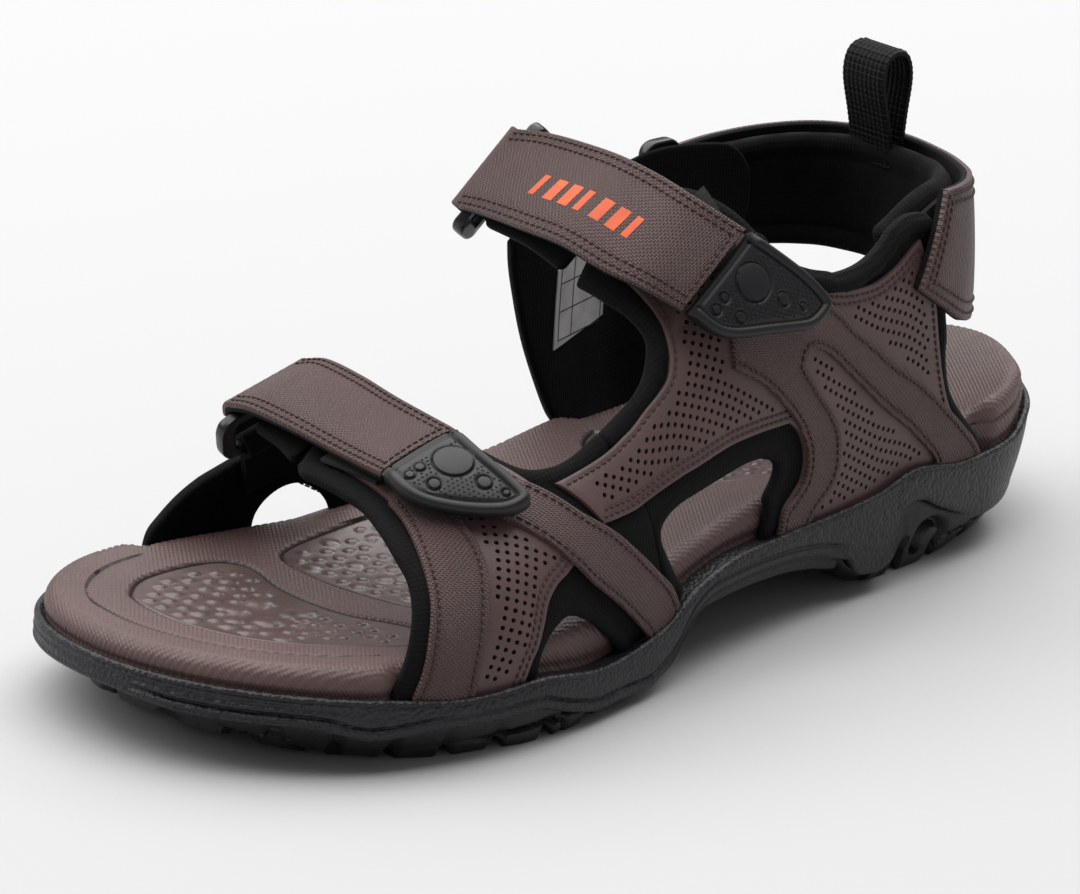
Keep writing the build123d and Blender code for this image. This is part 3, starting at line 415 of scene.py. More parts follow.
plan_t = [0, .01, .03, .06, .10, .15, .20, .30, .40, .50, .60, .68, .75, .82, .88, .93, .97, .99, 1]
plan_out = [3, 14, 24, 31, 36, 39, 40, 41, 42.5, 46, 51, 54, 54, 50, 43, 33, 18, 6, -12]
plan_in = [3, -9, -19, -27, -33, -37, -38.5, -37, -35, -36, -42, -49, -54, -57, -56, -51, -41, -30, -12]
ys_plan = np.array([145 - t * 290 for t in plan_t][::-1])
xo_plan = np.array([x * 1.04 + AX for x in plan_out][::-1])
xi_plan = np.array([x * 1.04 + AX for x in plan_in][::-1])
out_x = lambda y: np.interp(y, ys_plan, xo_plan)
in_x = lambda y: np.interp(y, ys_plan, xi_plan)
CX = -3.0 + AX
rim_out = curve([-145, -110, -85, -70, -46, -24, -10, 10, 40, 60, 75, 95, 115, 130, 145],
                [22, 18.5, 16, 16.5, 13.5, 16, 22, 25, 25, 26, 29, 26, 26, 30, 32])
rim_in = curve([-145, -110, -85, -60, -30, 0, 40, 80, 115, 130, 145], [22, 19, 19, 19, 23, 27, 27, 27, 27, 30, 32])
top_out = curve([-145, -104, -82, -60, -40, -20, 0, 20, 40, 60, 80, 145],
                [46, 51, 53, 60, 69, 80, 95, 112, 128, 138, 142, 142])
top_in = curve([-145, -104, -82, -60, -40, -20, 0, 20, 60, 145], [46, 51, 53, 60, 74, 95, 115, 125, 138, 142])
pow_out = curve([-145, -80, 0, 60, 145], [2.5, 2.5, 2.3, 2.2, 2.2])
pow_in = curve([-145, -60, -20, 20, 60, 145], [2.5, 2.5, 3.0, 3.2, 2.8, 2.4])
wall_in = curve([-145, -110, -90, -70, -40, -20, 0, 20, 40, 60, 90, 120, 145],
                [-12, -53, -55.5, -55, -43, -37.5, -37, -38, -42, -46, -44, -34, -6])
footbed_edge = curve([-145, -120, -90, -60, -30, 0, 25, 60, 100, 145], [28, 26, 24.5, 24, 27, 31, 34, 35, 37, 40])
footbed_dish = curve([-145, -90, -40, 20, 60, 100, 145], [0.5, 2.5, 3.0, 4.0, 8.0, 9.0, 2.0])
sole_under = curve([-145, -130, -110, -90, -60, -40, -15, 20, 50, 65, 80, 125, 140, 145],
                   [15, 9, 6, 5, 5, 6.5, 13, 16, 13, 7.5, 6, 6, 8.5, 11])
tread_under = curve([-145, -130, -112, -100, -60, -40, -15, 20, 50, 62, 70, 126, 136, 145],
                    [12, 5.5, 1.2, 0, 0, 1.5, 8, 11, 7, 0.8, 0, 0, 2.4, 7])


def raw(y, a):
    c, s = np.cos(a), np.sin(a)
    o = c >= 0
    A = np.where(o, out_x(y) - 2.5 - CX, CX - (wall_in(y) + AX))
    zr = np.where(o, rim_out(y), rim_in(y))
    zt = np.where(o, top_out(y), top_in(y))
    p = np.where(o, pow_out(y), pow_in(y))
    r = ((np.abs(c) / A) ** p + (np.abs(s) / (zt - zr)) ** p) ** (-1 / p)
    return np.stack([CX + r * c, y + 0 * a, zr + r * s], -1)


def unit(v):
    return v / np.maximum(np.linalg.norm(v, axis=-1, keepdims=True), 1e-9)


def skin(y, a, off=0.0):
    y, a = np.broadcast_arrays(np.asarray(y, float), np.asarray(a, float))
    q = raw(y, a)
    n = unit(np.cross(raw(y, a + 0.02) - raw(y, a - 0.02), raw(y + 1, a) - raw(y - 1, a)))
    flip = (n[..., 0] * np.cos(a) + n[..., 2] * np.sin(a)) < 0
    n = np.where(flip[..., None], -n, n)
    off = np.broadcast_to(np.asarray(off, float), y.shape)
    return q + n * off[..., None]


Y_T = np.arange(-124.0, 126.1, 2.0)
A_T = np.radians(np.arange(-24.0, 204.1, 1.0))
_g = raw(Y_T[:, None] + 0 * A_T[None], 0 * Y_T[:, None] + A_T[None])
_s = np.concatenate([np.zeros((len(Y_T), 1)), np.cumsum(np.linalg.norm(np.diff(_g, axis=1), axis=2), axis=1)], 1)
S_OUT = _s - _s[:, [24]]
S_IN = _s[:, [204]] - _s


class Skin:
    """Foot surface with flat coordinates: y, and the distance round the section from the rim."""

    def __init__(self, inner=False):
        self.inner = inner
        self.table = S_IN if inner else S_OUT

    def rows(self, y):
        f = np.clip((y - Y_T[0]) / 2.0, 0, len(Y_T) - 1.001)
        i = f.astype(int)
        t = (f - i)[:, None]
        return self.table[i] * (1 - t) + self.table[i + 1] * t

    def flat(self, y, a):
        y, a = np.asarray(y, float), np.asarray(a, float)
        R = self.rows(y)
        f = np.clip((np.radians(a) - A_T[0]) / math.radians(1.0), 0, len(A_T) - 1.001)
        i = f.astype(int)
        t = f - i
        k = np.arange(len(y))
        return np.stack([y, R[k, i] * (1 - t) + R[k, i + 1] * t], -1)

    def angle(self, P):
        R = self.rows(P[:, 0])
        if self.inner:
            R = -R
            v = -P[:, 1]
        else:
            v = P[:, 1]
        i = np.clip((R <= v[:, None]).sum(1) - 1, 0, len(A_T) - 2)
        k = np.arange(len(P))
        t = (v - R[k, i]) / (R[k, i + 1] - R[k, i])
        return A_T[i] + t * (A_T[1] - A_T[0])

    def map(self, P, off):
        return skin(P[:, 0], self.angle(P), off)


def cat(line, s):
    """Catmull-Rom through the points of a line at parameters s."""
    line = np.asarray(line, float)
    n = len(line)
    ext = np.vstack([2 * line[0] - line[1], line, 2 * line[-1] - line[-2]])
    i = np.clip(s.astype(int), 0, n - 2)
    t = (s - i)[:, None]
    p0, p1, p2, p3 = ext[i], ext[i + 1], ext[i + 2], ext[i + 3]
    return (p1 * 2 + (p2 - p0) * t + (p0 * 2 - p1 * 5 + p2 * 4 - p3) * t ** 2 + (p1 * 3 - p0 - p2 * 3 + p3) * t ** 3) * 0.5


class Band:
    """A strap: flat coordinates are the length along it and the distance across it."""

    def __init__(self, low, high, crown=0.8, k=1, fold=False, bar_width=None):
        self.low = np.asarray(low, float) + [AX, 0, 0]
        self.high = np.asarray(high, float) + [AX, 0, 0]
        self.crown, self.k = crown, k
        self.n = len(low)
        self.s = np.linspace(0, self.n - 1, 60 * (self.n - 1) + 1)
        mid = (cat(self.low, self.s) + cat(self.high, self.s)) / 2
        self.x = np.concatenate([[0], np.cumsum(np.linalg.norm(np.diff(mid, axis=0), axis=1))])
        self.length = self.x[-1]
        a, b = self.low[0], self.high[0]
        self.width = float(np.linalg.norm(b - a))
        self.d = (b - a) / self.width
        u = (self.low[1] + self.high[1]) - (a + b)
        self.u = unit(u - self.d * (u @ self.d))
        self.n0 = unit(np.cross(self.u, self.d))
        self.r_out = 1.6 + 0.35 + 1.3 + 1.4 + 0.1
        self.bar = (a + b) / 2 - self.n0 * self.r_out
        self.fold = fold

    def at(self, i):
        return float(np.interp(i, self.s, self.x))

    def map(self, P, off):
        off = np.broadcast_to(np.asarray(off, float), (len(P),))
        X, v = P[:, 0], P[:, 1] / self.width
        s = np.interp(np.maximum(X, 0), self.x, self.s)
        e = 0.01
        s0, s1 = np.maximum(s - e, 0), np.minimum(s + e, self.n - 1)
        a, b = cat(self.low, s), cat(self.high, s)
        u = unit(cat(self.low, s1) + cat(self.high, s1) - cat(self.low, s0) - cat(self.high, s0))
        d = unit(b - a)
        nn = unit(np.cross(u, d)) * self.k
        fade = np.clip(X / 8, 0, 1) if self.fold else 1.0
        h = off + self.crown * fade * (1 - (2 * v - 1) ** 2)
        q = a + (b - a) * v[:, None] + nn * h[:, None]
        if self.fold:
            th = math.pi / 2 + np.maximum(-X, 0) / self.r_out
            th1 = np.minimum(th, math.radians(262))
            run = (th - th1) * self.r_out
            rad = (self.u[None] * np.cos(th1)[:, None] + self.n0[None] * np.sin(th1)[:, None])
            tan = (-self.u[None] * np.sin(th1)[:, None] + self.n0[None] * np.cos(th1)[:, None])
            w = self.bar + self.d[None] * ((v - 0.5) * self.width)[:, None] + rad * (self.r_out + off)[:, None] + tan * run[:, None]
            q = np.where((X < 0)[:, None], w, q)
        return q


class Smooth:
    """A plane with a cubic height fitted to given 3-D points; flat coordinates lie in the plane."""

    def __init__(self, pts, origin, ex, normal, deg=3):
        self.o = np.asarray(origin, float)
        self.n = unit(np.asarray(normal, float))
        self.ex = unit(ex - self.n * (ex @ self.n))
        self.ey = np.cross(self.n, self.ex)
        self.terms = [(i, j) for i in range(deg + 1) for j in range(deg + 1 - i)]
        P = self.flat(pts)
        self.c = np.linalg.lstsq(self.basis(P), (pts - self.o) @ self.n, rcond=None)[0]

    def basis(self, P):
        return np.stack([(P[:, 0] / 20) ** i * (P[:, 1] / 20) ** j for i, j in self.terms], 1)

    def flat(self, q):
        v = q - self.o
        return np.stack([v @ self.ex, v @ self.ey], -1)

    def map(self, P, off):
        off = np.broadcast_to(np.asarray(off, float), (len(P),))
        e = 0.05
        h = self.basis(P) @ self.c
        hx = (self.basis(P + [e, 0]) @ self.c - h) / e
        hy = (self.basis(P + [0, e]) @ self.c - h) / e
        nn = unit(self.n[None] - hx[:, None] * self.ex - hy[:, None] * self.ey)
        return self.o + P[:, [0]] * self.ex + P[:, [1]] * self.ey + h[:, None] * self.n + nn * off[:, None]


# ---------------------------------------------------------------- outlines in flat coordinates
def spline2(pts, step=0.7):
    pts = np.asarray(pts, float)
    if len(pts) == 2:
        n = max(int(np.linalg.norm(pts[1] - pts[0]) / step), 1)
        return pts[0] + (pts[1] - pts[0]) * np.linspace(0, 1, n + 1)[:, None]
    s = np.linspace(0, len(pts) - 1, 24 * (len(pts) - 1) + 1)
    q = cat(pts, s)
    return resample(q, step)


def resample(q, step):
    L = np.concatenate([[0], np.cumsum(np.linalg.norm(np.diff(q, axis=0), axis=1))])
    n = max(int(round(L[-1] / step)), 2)
    t = np.linspace(0, L[-1], n + 1)
    return np.stack([np.interp(t, L, q[:, k]) for k in range(q.shape[1])], -1)


def closed(runs, step=0.7):
    out = []
    for r in runs:
        out.append(spline2(r, step)[:-1])
    return np.vstack(out)


def seg_dist(P, poly, close=False):
    """Distance from points to a polyline."""
    A = poly
    B = np.roll(poly, -1, axis=0)
    if not close:
        A, B = A[:-1], B[:-1]
    out = np.full(len(P), 1e9)
    AB = B - A
    L2 = np.maximum((AB ** 2).sum(1), 1e-12)
    for i in range(0, len(P), 2000):
        p = P[i:i + 2000]
        t = np.clip(((p[:, None] - A[None]) * AB[None]).sum(2) / L2[None], 0, 1)
        q = A[None] + t[..., None] * AB[None]
        out[i:i + 2000] = np.sqrt(((p[:, None] - q) ** 2).sum(2).min(1))
    return out


def inside(P, poly):
    A, B = poly, np.roll(poly, -1, axis=0)
    out = np.zeros(len(P), bool)
    for i in range(0, len(P), 4000):
        x, y = P[i:i + 4000, 0][:, None], P[i:i + 4000, 1][:, None]
        c = (A[None, :, 1] > y) != (B[None, :, 1] > y)
        with np.errstate(divide="ignore", invalid="ignore"):
            xi = A[None, :, 0] + (y - A[None, :, 1]) / (B[None, :, 1] - A[None, :, 1]) * (B[None, :, 0] - A[None, :, 0])
        out[i:i + 4000] = (np.sum(c & (x < xi), axis=1) % 2) == 1
    return out


def area2(poly):
    x, y = poly[:, 0], poly[:, 1]
    return 0.5 * np.sum(x * np.roll(y, -1) - np.roll(x, -1) * y)


def shifted(path, dist, close=False):
    """A path moved sideways, to the left of its direction."""
    if close:
        t = np.roll(path, -1, axis=0) - np.roll(path, 1, axis=0)
    else:
        t = np.gradient(path, axis=0)
    t = unit(t)
    n = np.stack([-t[:, 1], t[:, 0]], -1)
    q = path + n * dist
    keep = seg_dist(q, path, close) > abs(dist) * 0.93
    return q[keep]


def row(path, loop, dist, gap=0.0, step=0.4):
    """A stitch line: an edge run moved inside its loop by dist; gap drops the ends."""
    p = spline2(path, 0.5) if len(path) < 60 else resample(np.asarray(path, float), 0.5)
    side = 1.0 if area2(loop) > 0 else -1.0
    q = shifted(p, dist * side)
    d = seg_dist(q, loop, True)
    keep = (d > dist * 0.9) & inside(q, loop)
    q = q[keep]
    if len(q) < 4:
        return None
    q = resample(q, step)
    if gap:
        k = int(gap / step)
        q = q[k:-k] if k else q
    return q


def hexgrid(lo, hi, h):
    xs = np.arange(lo[0], hi[0], h)
    ys = np.arange(lo[1], hi[1], h * 0.866)
    X, Y = np.meshgrid(xs, ys)
    X = X + (np.arange(len(ys)) % 2)[:, None] * h / 2
    return np.stack([X.ravel(), Y.ravel()], -1)


def triangulate(loops, extra, holes=(), n_hole=10):
    verts = [np.asarray(l, float) for l in loops]
    edges, k = [], 0
    for l in verts:
        edges += [(k + i, k + (i + 1) % len(l)) for i in range(len(l))]
        k += len(l)
    ang = np.linspace(0, 2 * math.pi, n_hole, endpoint=False)
    for (x, y, r) in holes:
        verts.append(np.stack([x + r * np.cos(ang), y + r * np.sin(ang)], -1))
        edges += [(k + i, k + (i + 1) % n_hole) for i in range(n_hole)]
        k += n_hole
    verts.append(extra)
    V = np.vstack(verts)
    r = delaunay_2d_cdt([Vector((float(a), float(b))) for a, b in V], edges, [], 0, 1e-5)
    P = np.array([[v.x, v.y] for v in r[0]])
    F = np.array([f for f in r[2] if len(f) == 3])
    c = P[F].mean(1)
    keep = inside(c, loops[0])
    for l in loops[1:]:
        keep &= ~inside(c, l)
    if len(holes):
        H = np.array(holes)
        for i in range(0, len(c), 4000):
            d = np.sqrt(((c[i:i + 4000, None] - H[None, :, :2]) ** 2).sum(2)) - H[None, :, 2]
            keep[i:i + 4000] &= d.min(1) > -0.02
    F = F[keep]
    used = np.unique(F)
    new = -np.ones(len(P), int)
    new[used] = np.arange(len(used))
    return P[used], new[F]


def border(F):
    seen = {}
    for a, b, c in F:
        for e in ((a, b), (b, c), (c, a)):
            seen[e] = True
    return [e for e in seen if (e[1], e[0]) not in seen]


def sheet(name, surf, loops, top, bottom, material, h=1.6, holes=(), lines=(), fine=(0.2, 0.55, 1.1), near=None, extra=None):
    """A solid panel on a surface: top and bottom are heights from the edge distance and position."""
    loops = [np.asarray(l, float) for l in loops]
    lo, hi = loops[0].min(0), loops[0].max(0)
    pts = []
    g = hexgrid(lo, hi, h)
    pts.append((g, max(0.75 * h, (fine[-1] if fine else 0) + 0.35 * h)))
    for e in fine:
        for l in loops:
            s = 1.0 if area2(l) > 0 else -1.0
            if l is not loops[0]:
                s = -s
            q = shifted(l, e * s, True)
            pts.append((q, e * 0.9))
    keep_pts = []
    for q, dmin in pts:
        if not len(q):
            continue
        ok = inside(q, loops[0])
        d = seg_dist(q, loops[0], True)
        for l in loops[1:]:
            ok &= ~inside(q, l)
            d = np.minimum(d, seg_dist(q, l, True))
        ok &= d > dmin
        q = q[ok]
        if len(holes) and len(q):
            H = np.array(holes)
            dd = np.concatenate([(np.sqrt(((q[i:i + 4000, None] - H[None, :, :2]) ** 2).sum(2)) - H[None, :, 2]).min(1)
                                 for i in range(0, len(q), 4000)])
            q = q[dd > 0.35]
        for ln in lines:
            if len(q):
                q = q[seg_dist(q, ln) > 0.8]
        keep_pts.append(q)
    for ln in lines:
        c = resample(ln, 0.9)
        for o in (0.0, 0.45, -0.45):
            q = shifted(c, o) if o else c
            ok = inside(q, loops[0]) & (seg_dist(q, loops[0], True) > 0.3)
            for l in loops[1:]:
                ok &= ~inside(q, l) & (seg_dist(q, l, True) > 0.3)
            keep_pts.append(q[ok])
    if extra is not None:
        keep_pts.append(extra)
    P, F = triangulate(loops, np.vstack(keep_pts), holes)
    d = seg_dist(P, loops[0], True)
    for l in loops[1:]:
        d = np.minimum(d, seg_dist(P, l, True))
    groove = np.zeros(len(P))
    for ln in lines:
        groove = np.maximum(groove, np.exp(-(seg_dist(P, ln) / 0.5) ** 2))
    t = top(d, P) - 0.16 * groove
    b = bottom(d, P)
    V0, V1 = surf.map(P, t), surf.map(P, b)
    n = np.cross(V0[F[:, 1]] - V0[F[:, 0]], V0[F[:, 2]] - V0[F[:, 0]])
    out = surf.map(P, t + 1.0) - V0
    if (n * out[F[:, 0]]).sum() < 0:
        F = F[:, ::-1]
    N = len(P)
    faces = [tuple(f) for f in F] + [(f[2] + N, f[1] + N, f[0] + N) for f in F]
    faces += [(j, i, i + N, j + N) for i, j in border(F)]
    ob = new_obj(name, np.vstack([V0, V1]), faces, np.vstack([P, P]), 42)
    ob.data.materials.append(material)
    return ob


def edge(hi, r=0.45):
    """Height with a rounded cut edge."""
    return lambda d, P: hi - r * (1 - np.sqrt(np.clip(1 - (1 - np.minimum(d, r) / r) ** 2, 0, 1))) + 0 * d


def flat_off(v, r=0.0):
    if r:
        return lambda d, P: v + r * (1 - np.sqrt(np.clip(1 - (1 - np.minimum(d, r) / r) ** 2, 0, 1)))
    return lambda d, P: v + 0 * d


STITCH = []


def stitches(name, surf, paths, off, material, pitch=1.85, length=1.5, r=0.30, body="root", wobble=0.0):
    """Lockstitches along flat paths as short rounded threads."""
    C, T, O = [], [], []
    for p in paths:
        if p is None or len(p) < 3:
            continue
        q = resample(p, pitch)
        t = unit(np.gradient(q, axis=0))
        C.append(q)
        T.append(t)
    if not C:
        return None
    C, T = np.vstack(C), np.vstack(T)
    n = len(C)
    if wobble:
        side = np.stack([-T[:, 1], T[:, 0]], -1)
        T = unit(T + side * RNG.normal(0, wobble, (n, 1)))
    K, M = 5, 6
    us = np.array([-0.5, -0.34, 0.0, 0.34, 0.5]) * length
    rs = np.array([0.35, 0.85, 1.0, 0.85, 0.35]) * r
    lift = np.array([-0.22, 0.05, 0.14, 0.05, -0.22])
    V = np.zeros((n, K * M + 2, 3))
    cen, nrm = [], []
    for k in range(K):
        P = C + T * us[k]
        c = surf.map(P, off + lift[k])
        cen.append(c)
        nrm.append(unit(surf.map(P, off + lift[k] + 1.0) - c))
    tan = unit(cen[-1] - cen[0])
    for k in range(K):
        b = unit(np.cross(nrm[k], tan))
        for m_ in range(M):
            f = 2 * math.pi * m_ / M
            V[:, k * M + m_] = cen[k] + rs[k] * (math.cos(f) * b + 0.85 * math.sin(f) * nrm[k])
    V[:, K * M] = cen[0] - tan * 0.1
    V[:, K * M + 1] = cen[-1] + tan * 0.1
    base = []
    for k in range(K - 1):
        for m_ in range(M):
            a, b2 = k * M + m_, k * M + (m_ + 1) % M
            base.append((a, b2, b2 + M, a + M))
    for m_ in range(M):
        base.append((K * M, (m_ + 1) % M, m_))
        base.append((K * M + 1, (K - 1) * M + m_, (K - 1) * M + (m_ + 1) % M))
    faces = [tuple(v + i * (K * M + 2) for v in f) for i in range(n) for f in base]
    UV = np.repeat(C, K * M + 2, axis=0)
    ob = new_obj(name, V.reshape(-1, 3), faces, UV, 0)
    ob.data.materials.append(material)
    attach(ob, body)
    STITCH.append(ob)
    return ob


def join(name, obs):
    obs = [o for o in obs if o is not None]
    if len(obs) > 1:
        with bpy.context.temp_override(active_object=obs[0], selected_editable_objects=obs, selected_objects=obs):
            bpy.ops.object.join()
    obs[0].name = name
    return obs[0]


# ---------------------------------------------------------------- outlines of the upper
vamp_front = [(-104.4, 1), (-101.8, 8), (-99.2, 15.9), (-96.1, 24.7), (-93.8, 32.2), (-91.9, 41.4), (-88.8, 53),
              (-86, 64.6), (-84.9, 74.5), (-83.7, 88.6), (-83.1, 100), (-81, 106)]
vamp_end = [(-81, 106), (-73, 110), (-63, 109), (-57, 103)]
vamp_instep = [(-57, 103), (-56, 82), (-55.6, 64), (-54, 55.2), (-51, 50.8), (-45, 49), (-38.7, 49.3), (-31, 51)]
vamp_seam = [(-31, 51), (-28, 40), (-24.5, 28), (-22, 14), (-17, -3)]
vamp_foot = [(-17, -3), (-60, -3), (-105.4, -3)]
small_window = [(-68.6, -5), (-66.9, 3), (-64.6, 7.6), (-60.7, 11.4), (-56.1, 13.6), (-49.4, 11.9), (-42.8, 6.4),
                (-38.3, 1.3), (-36.4, -5)]
quarter_seam = [(-15.6, -3), (-21.6, 14), (-24.1, 28), (-27.6, 40), (-30.6, 50.8)]
quarter_instep = [(-30.6, 50.8), (-22.8, 52.5), (-17, 53.3), (-13, 55), (-9.5, 58.5), (-8.1, 62), (-8.6, 68), (-9.8, 75), (-10.2, 82)]
quarter_tongue = [(-10.2, 82), (2, 85), (14, 81), (22, 72), (29.2, 63.5)]
quarter_topline = [(29.2, 63.5), (33.5, 60.4), (39.7, 58.2), (45.7, 56.9), (49.1, 56.1), (56.9, 56), (65, 57.1), (70, 58.4), (76, 59.2), (82, 59.4)]
quarter_rear = [(82, 59.4), (86.5, 51), (88.1, 38.8), (87.7, 33), (89.3, 24), (95, 14.7), (101.8, 5), (106, -3)]
quarter_foot = [(106, -3), (50, -3), (-15.6, -3)]
window_front = [(-13.6, -5), (-13.6, 1.3), (-16.8, 8.6), (-19.9, 16), (-21.4, 20.7), (-20.9, 23.9)]
window_top = [(-20.9, 23.9), (-17.1, 24.7), (-9.3, 23.7), (2.7, 23.3), (13, 24.3), (18.6, 24.3)]
window_rear = [(18.6, 24.3), (23.4, 22.6), (25.5, 19.8), (24.3, 16), (21.1, 11.4), (21.7, 7.4), (19.2, -5)]
vamp_panel = [[(-100.2, -3), (-99.4, 1), (-97.5, 6.8), (-95, 15.6), (-92, 24), (-89.5, 31.5), (-86.7, 39.8), (-83.3, 50), (-81, 60.7), (-79, 75), (-78, 87)],
              [(-78, 87), (-68, 89), (-59, 86)],
              [(-59, 86), (-57.5, 66), (-56, 57), (-53, 46), (-50.5, 36), (-51.5, 27), (-55, 23.5), (-59.3, 20.8),
               (-63.1, 16.9), (-65.6, 11.9), (-67.9, 7), (-70.2, 3.7), (-73.5, -3)],
              [(-73.5, -3), (-86, -3), (-100.2, -3)]]
vamp_overlay = [[(-101.7, -3), (-100.9, 1), (-99, 6.8), (-96.5, 15.6), (-93.5, 24), (-91, 31.5), (-88.2, 39.8), (-84.8, 50), (-82.8, 59)],
                [(-82.8, 59), (-77, 59.5), (-70.5, 58)],
                [(-70.5, 58), (-72.6, 48), (-74, 40.3), (-74.7, 34.3), (-75.9, 29), (-78.3, 23.3), (-80.8, 17.5), (-83.2, 11.1), (-85.1, 5.5), (-86.8, -3)],
                [(-86.8, -3), (-93, -3), (-101.7, -3)]]
diagonal_overlay = [[(-28.2, -3), (-29.8, 1), (-35.9, 8.3), (-41.6, 14.2), (-48.7, 20.3), (-53.1, 25), (-56.2, 28.6), (-60.1, 33), (-64.3, 37.8), (-67, 42)],
                    [(-67, 42), (-66.5, 48), (-61, 52.5), (-53.8, 46.4)],
                    [(-53.8, 46.4), (-50.1, 41.3), (-45.8, 36.1), (-39.1, 30.4), (-33.2, 24.2), (-26.8, 16.9), (-20.8, 9.6), (-17, 1), (-15.5, -3)],
                    [(-15.5, -3), (-28.2, -3)]]
quarter_panel = [[(-40, 32), (-44, 39), (-48, 45)],
                 [(-48, 45), (-39.9, 45.6), (-31.9, 46.3), (-24.6, 47.8), (-18.3, 49.1), (-13.2, 49.6), (-9.1, 51), (-6.3, 54.4), (-5, 58), (-4.3, 62), (-4.5, 70), (-5, 78)],
                 [(-5, 78), (6, 80), (18, 74), (27, 62)],
                 [(27, 62), (33, 58.5), (38.6, 56.4), (43.4, 55.1), (50.7, 53.6), (58.4, 52.9), (66.3, 52.8), (72, 53.6), (79, 56)],
                 [(79, 56), (83, 48), (84.3, 38), (86, 28), (88.5, 20), (93, 12), (97, 5), (101, -3)],
                 [(101, -3), (70, -3), (45, -3), (24.5, -3)],
                 [(24.5, -3), (25.5, 1), (26.6, 6.2), (29.9, 9.9), (33.2, 14.3), (34.3, 21.1), (32.3, 27.6), (28.8, 31)],
                 [(28.8, 31), (17.4, 30.9), (8, 30.4), (-2, 29.8), (-12, 30.1), (-21.5, 32.1), (-29.9, 31.6), (-40, 32)]]
quarter_overlay = [[(23.8, -3), (24.5, 1), (25.6, 6.2), (29.7, 9.9), (33.2, 14.3), (34.3, 21.1), (32.3, 27.6), (28.8, 33), (20, 41), (10, 46.5)],
                   [(10, 46.5), (13, 58), (24, 61)],
                   [(24, 61), (35, 57.5), (46.8, 51.4), (52.1, 47.5), (61.2, 41.3), (69.8, 33.2), (77.3, 26.8), (85, 20.6), (92.4, 13.9), (99.1, 5.1), (102.5, -3)],
                   [(102.5, -3), (80.5, -3)],
                   [(80.5, -3), (83.2, 1), (75.4, 10.3), (67.7, 19.8), (59.4, 29.5), (51.4, 37.1), (44.5, 42.8), (40, 45.2), (36, 45.6), (34, 43.2)],
                   [(34, 43.2), (35.7, 40.8), (39.3, 36.3), (43.2, 31.3), (46, 25.3), (46.5, 19.5), (45.9, 13.1), (42.9, 7.8), (39, 4.2), (36.5, 1), (34.5, -3)],
                   [(34.5, -3), (23.8, -3)]]
quarter_overlay[4][0] = (80.5, -3)


def rise(y, z):
    lo, hi = 92.0, 200.0
    for _ in range(34):
        m_ = (lo + hi) / 2
        if raw(np.array([y]), np.array([math.radians(m_)]))[0, 2] > z:
            lo = m_
        else:
            hi = m_
    return (y, (lo + hi) / 2)


def rises(points):
    return [rise(y, z) for y, z in points]


in_vamp = [rises([(-92, 17), (-92, 20), (-90.5, 26), (-87, 30), (-82.7, 34.5), (-79, 37.5), (-76, 39)]),
           rises([(-76, 39), (-66, 42), (-57, 43)]),
           rises([(-57, 43), (-49, 38), (-40, 32.5), (-30, 27), (-24, 24.8), (-23, 20)]),
           rises([(-23, 20), (-40, 19.5), (-55, 17), (-75, 16.6), (-92, 17)])]
in_window = rises([(-60, 14), (-58.5, 24), (-54, 30), (-48.5, 31), (-43, 26), (-40.5, 16)])
in_quarter = [rises([(31, 24), (30, 28), (26, 33), (21.5, 41), (15.5, 54), (11, 67), (8.5, 75), (7, 82)]),
              rises([(7, 82), (13, 86), (20, 89), (30, 90), (42, 89), (50, 90), (55, 91)]),
              rises([(55, 91), (56.5, 82), (58, 70), (64, 55), (80, 38), (96, 28.5), (99, 24)]),
              rises([(99, 24), (70, 24), (50, 24), (31, 24)])]

SKO, SKI = Skin(), Skin(True)


def fl(run, surf=SKO):
    r = np.asarray(run, float)
    return surf.flat(r[:, 0], r[:, 1])


def fls(runs, surf=SKO):
    return [fl(r, surf) for r in runs]


def loop_of(runs, surf=SKO, step=0.7):
    return closed(fls(runs, surf), step)


def perforate(loop, blocks, pitch=3.25, r=0.60, margin=3.4, tilt=0.0, clear=2.2):
    """Staggered round holes inside a loop, clear of its edge and of the blocks (loops that cover it)."""
    lo, hi = loop.min(0) - 20, loop.max(0) + 20
    c, s = math.cos(tilt), math.sin(tilt)
    xs = np.arange(-200, 200, pitch)
    ys = np.arange(-200, 200, pitch / 2)
    X, Y = np.meshgrid(xs, ys)
    X = X + (np.arange(len(ys)) % 2)[:, None] * pitch / 2
    g = np.stack([X.ravel(), Y.ravel()], -1)
    g = np.stack([g[:, 0] * c - g[:, 1] * s, g[:, 0] * s + g[:, 1] * c], -1) + (lo + hi) / 2
    g = g[inside(g, loop) & (seg_dist(g, loop, True) > margin)]
    for b in blocks:
        ok = ~(inside(g, b) | (seg_dist(g, b, True) < clear))
        g = g[ok]
    return [(x, y, r) for x, y in g]


def give(ob, body, slot, *nodes):
    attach(ob, body)
    if nodes:
        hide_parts(*nodes)
    return ob


def lining_top(base, rolls):
    """Lining face with rolled edges: rolls are (polyline, width, rise)."""
    def f(d, P):
        z = np.full(len(P), base)
        for line, w, up in rolls:
            x = seg_dist(P, line)
            k = np.clip(1 - ((x - w / 2) / (w / 2)) ** 2, 0, 1)
            z = np.maximum(z, base + up * np.sqrt(k))
        r = 0.9
        return z - np.where(d < r, (1 - np.sqrt(np.clip(1 - (1 - np.minimum(d, r) / r) ** 2, 0, 1))) * 1.0, 0)
    return f


def lining_bottom(base, rolls=()):
    def f(d, P):
        z = np.full(len(P), base)
        r = 1.2
        z = z + (1 - np.sqrt(np.clip(1 - (1 - np.minimum(d, r) / r) ** 2, 0, 1))) * 0.8
        return z
    return f


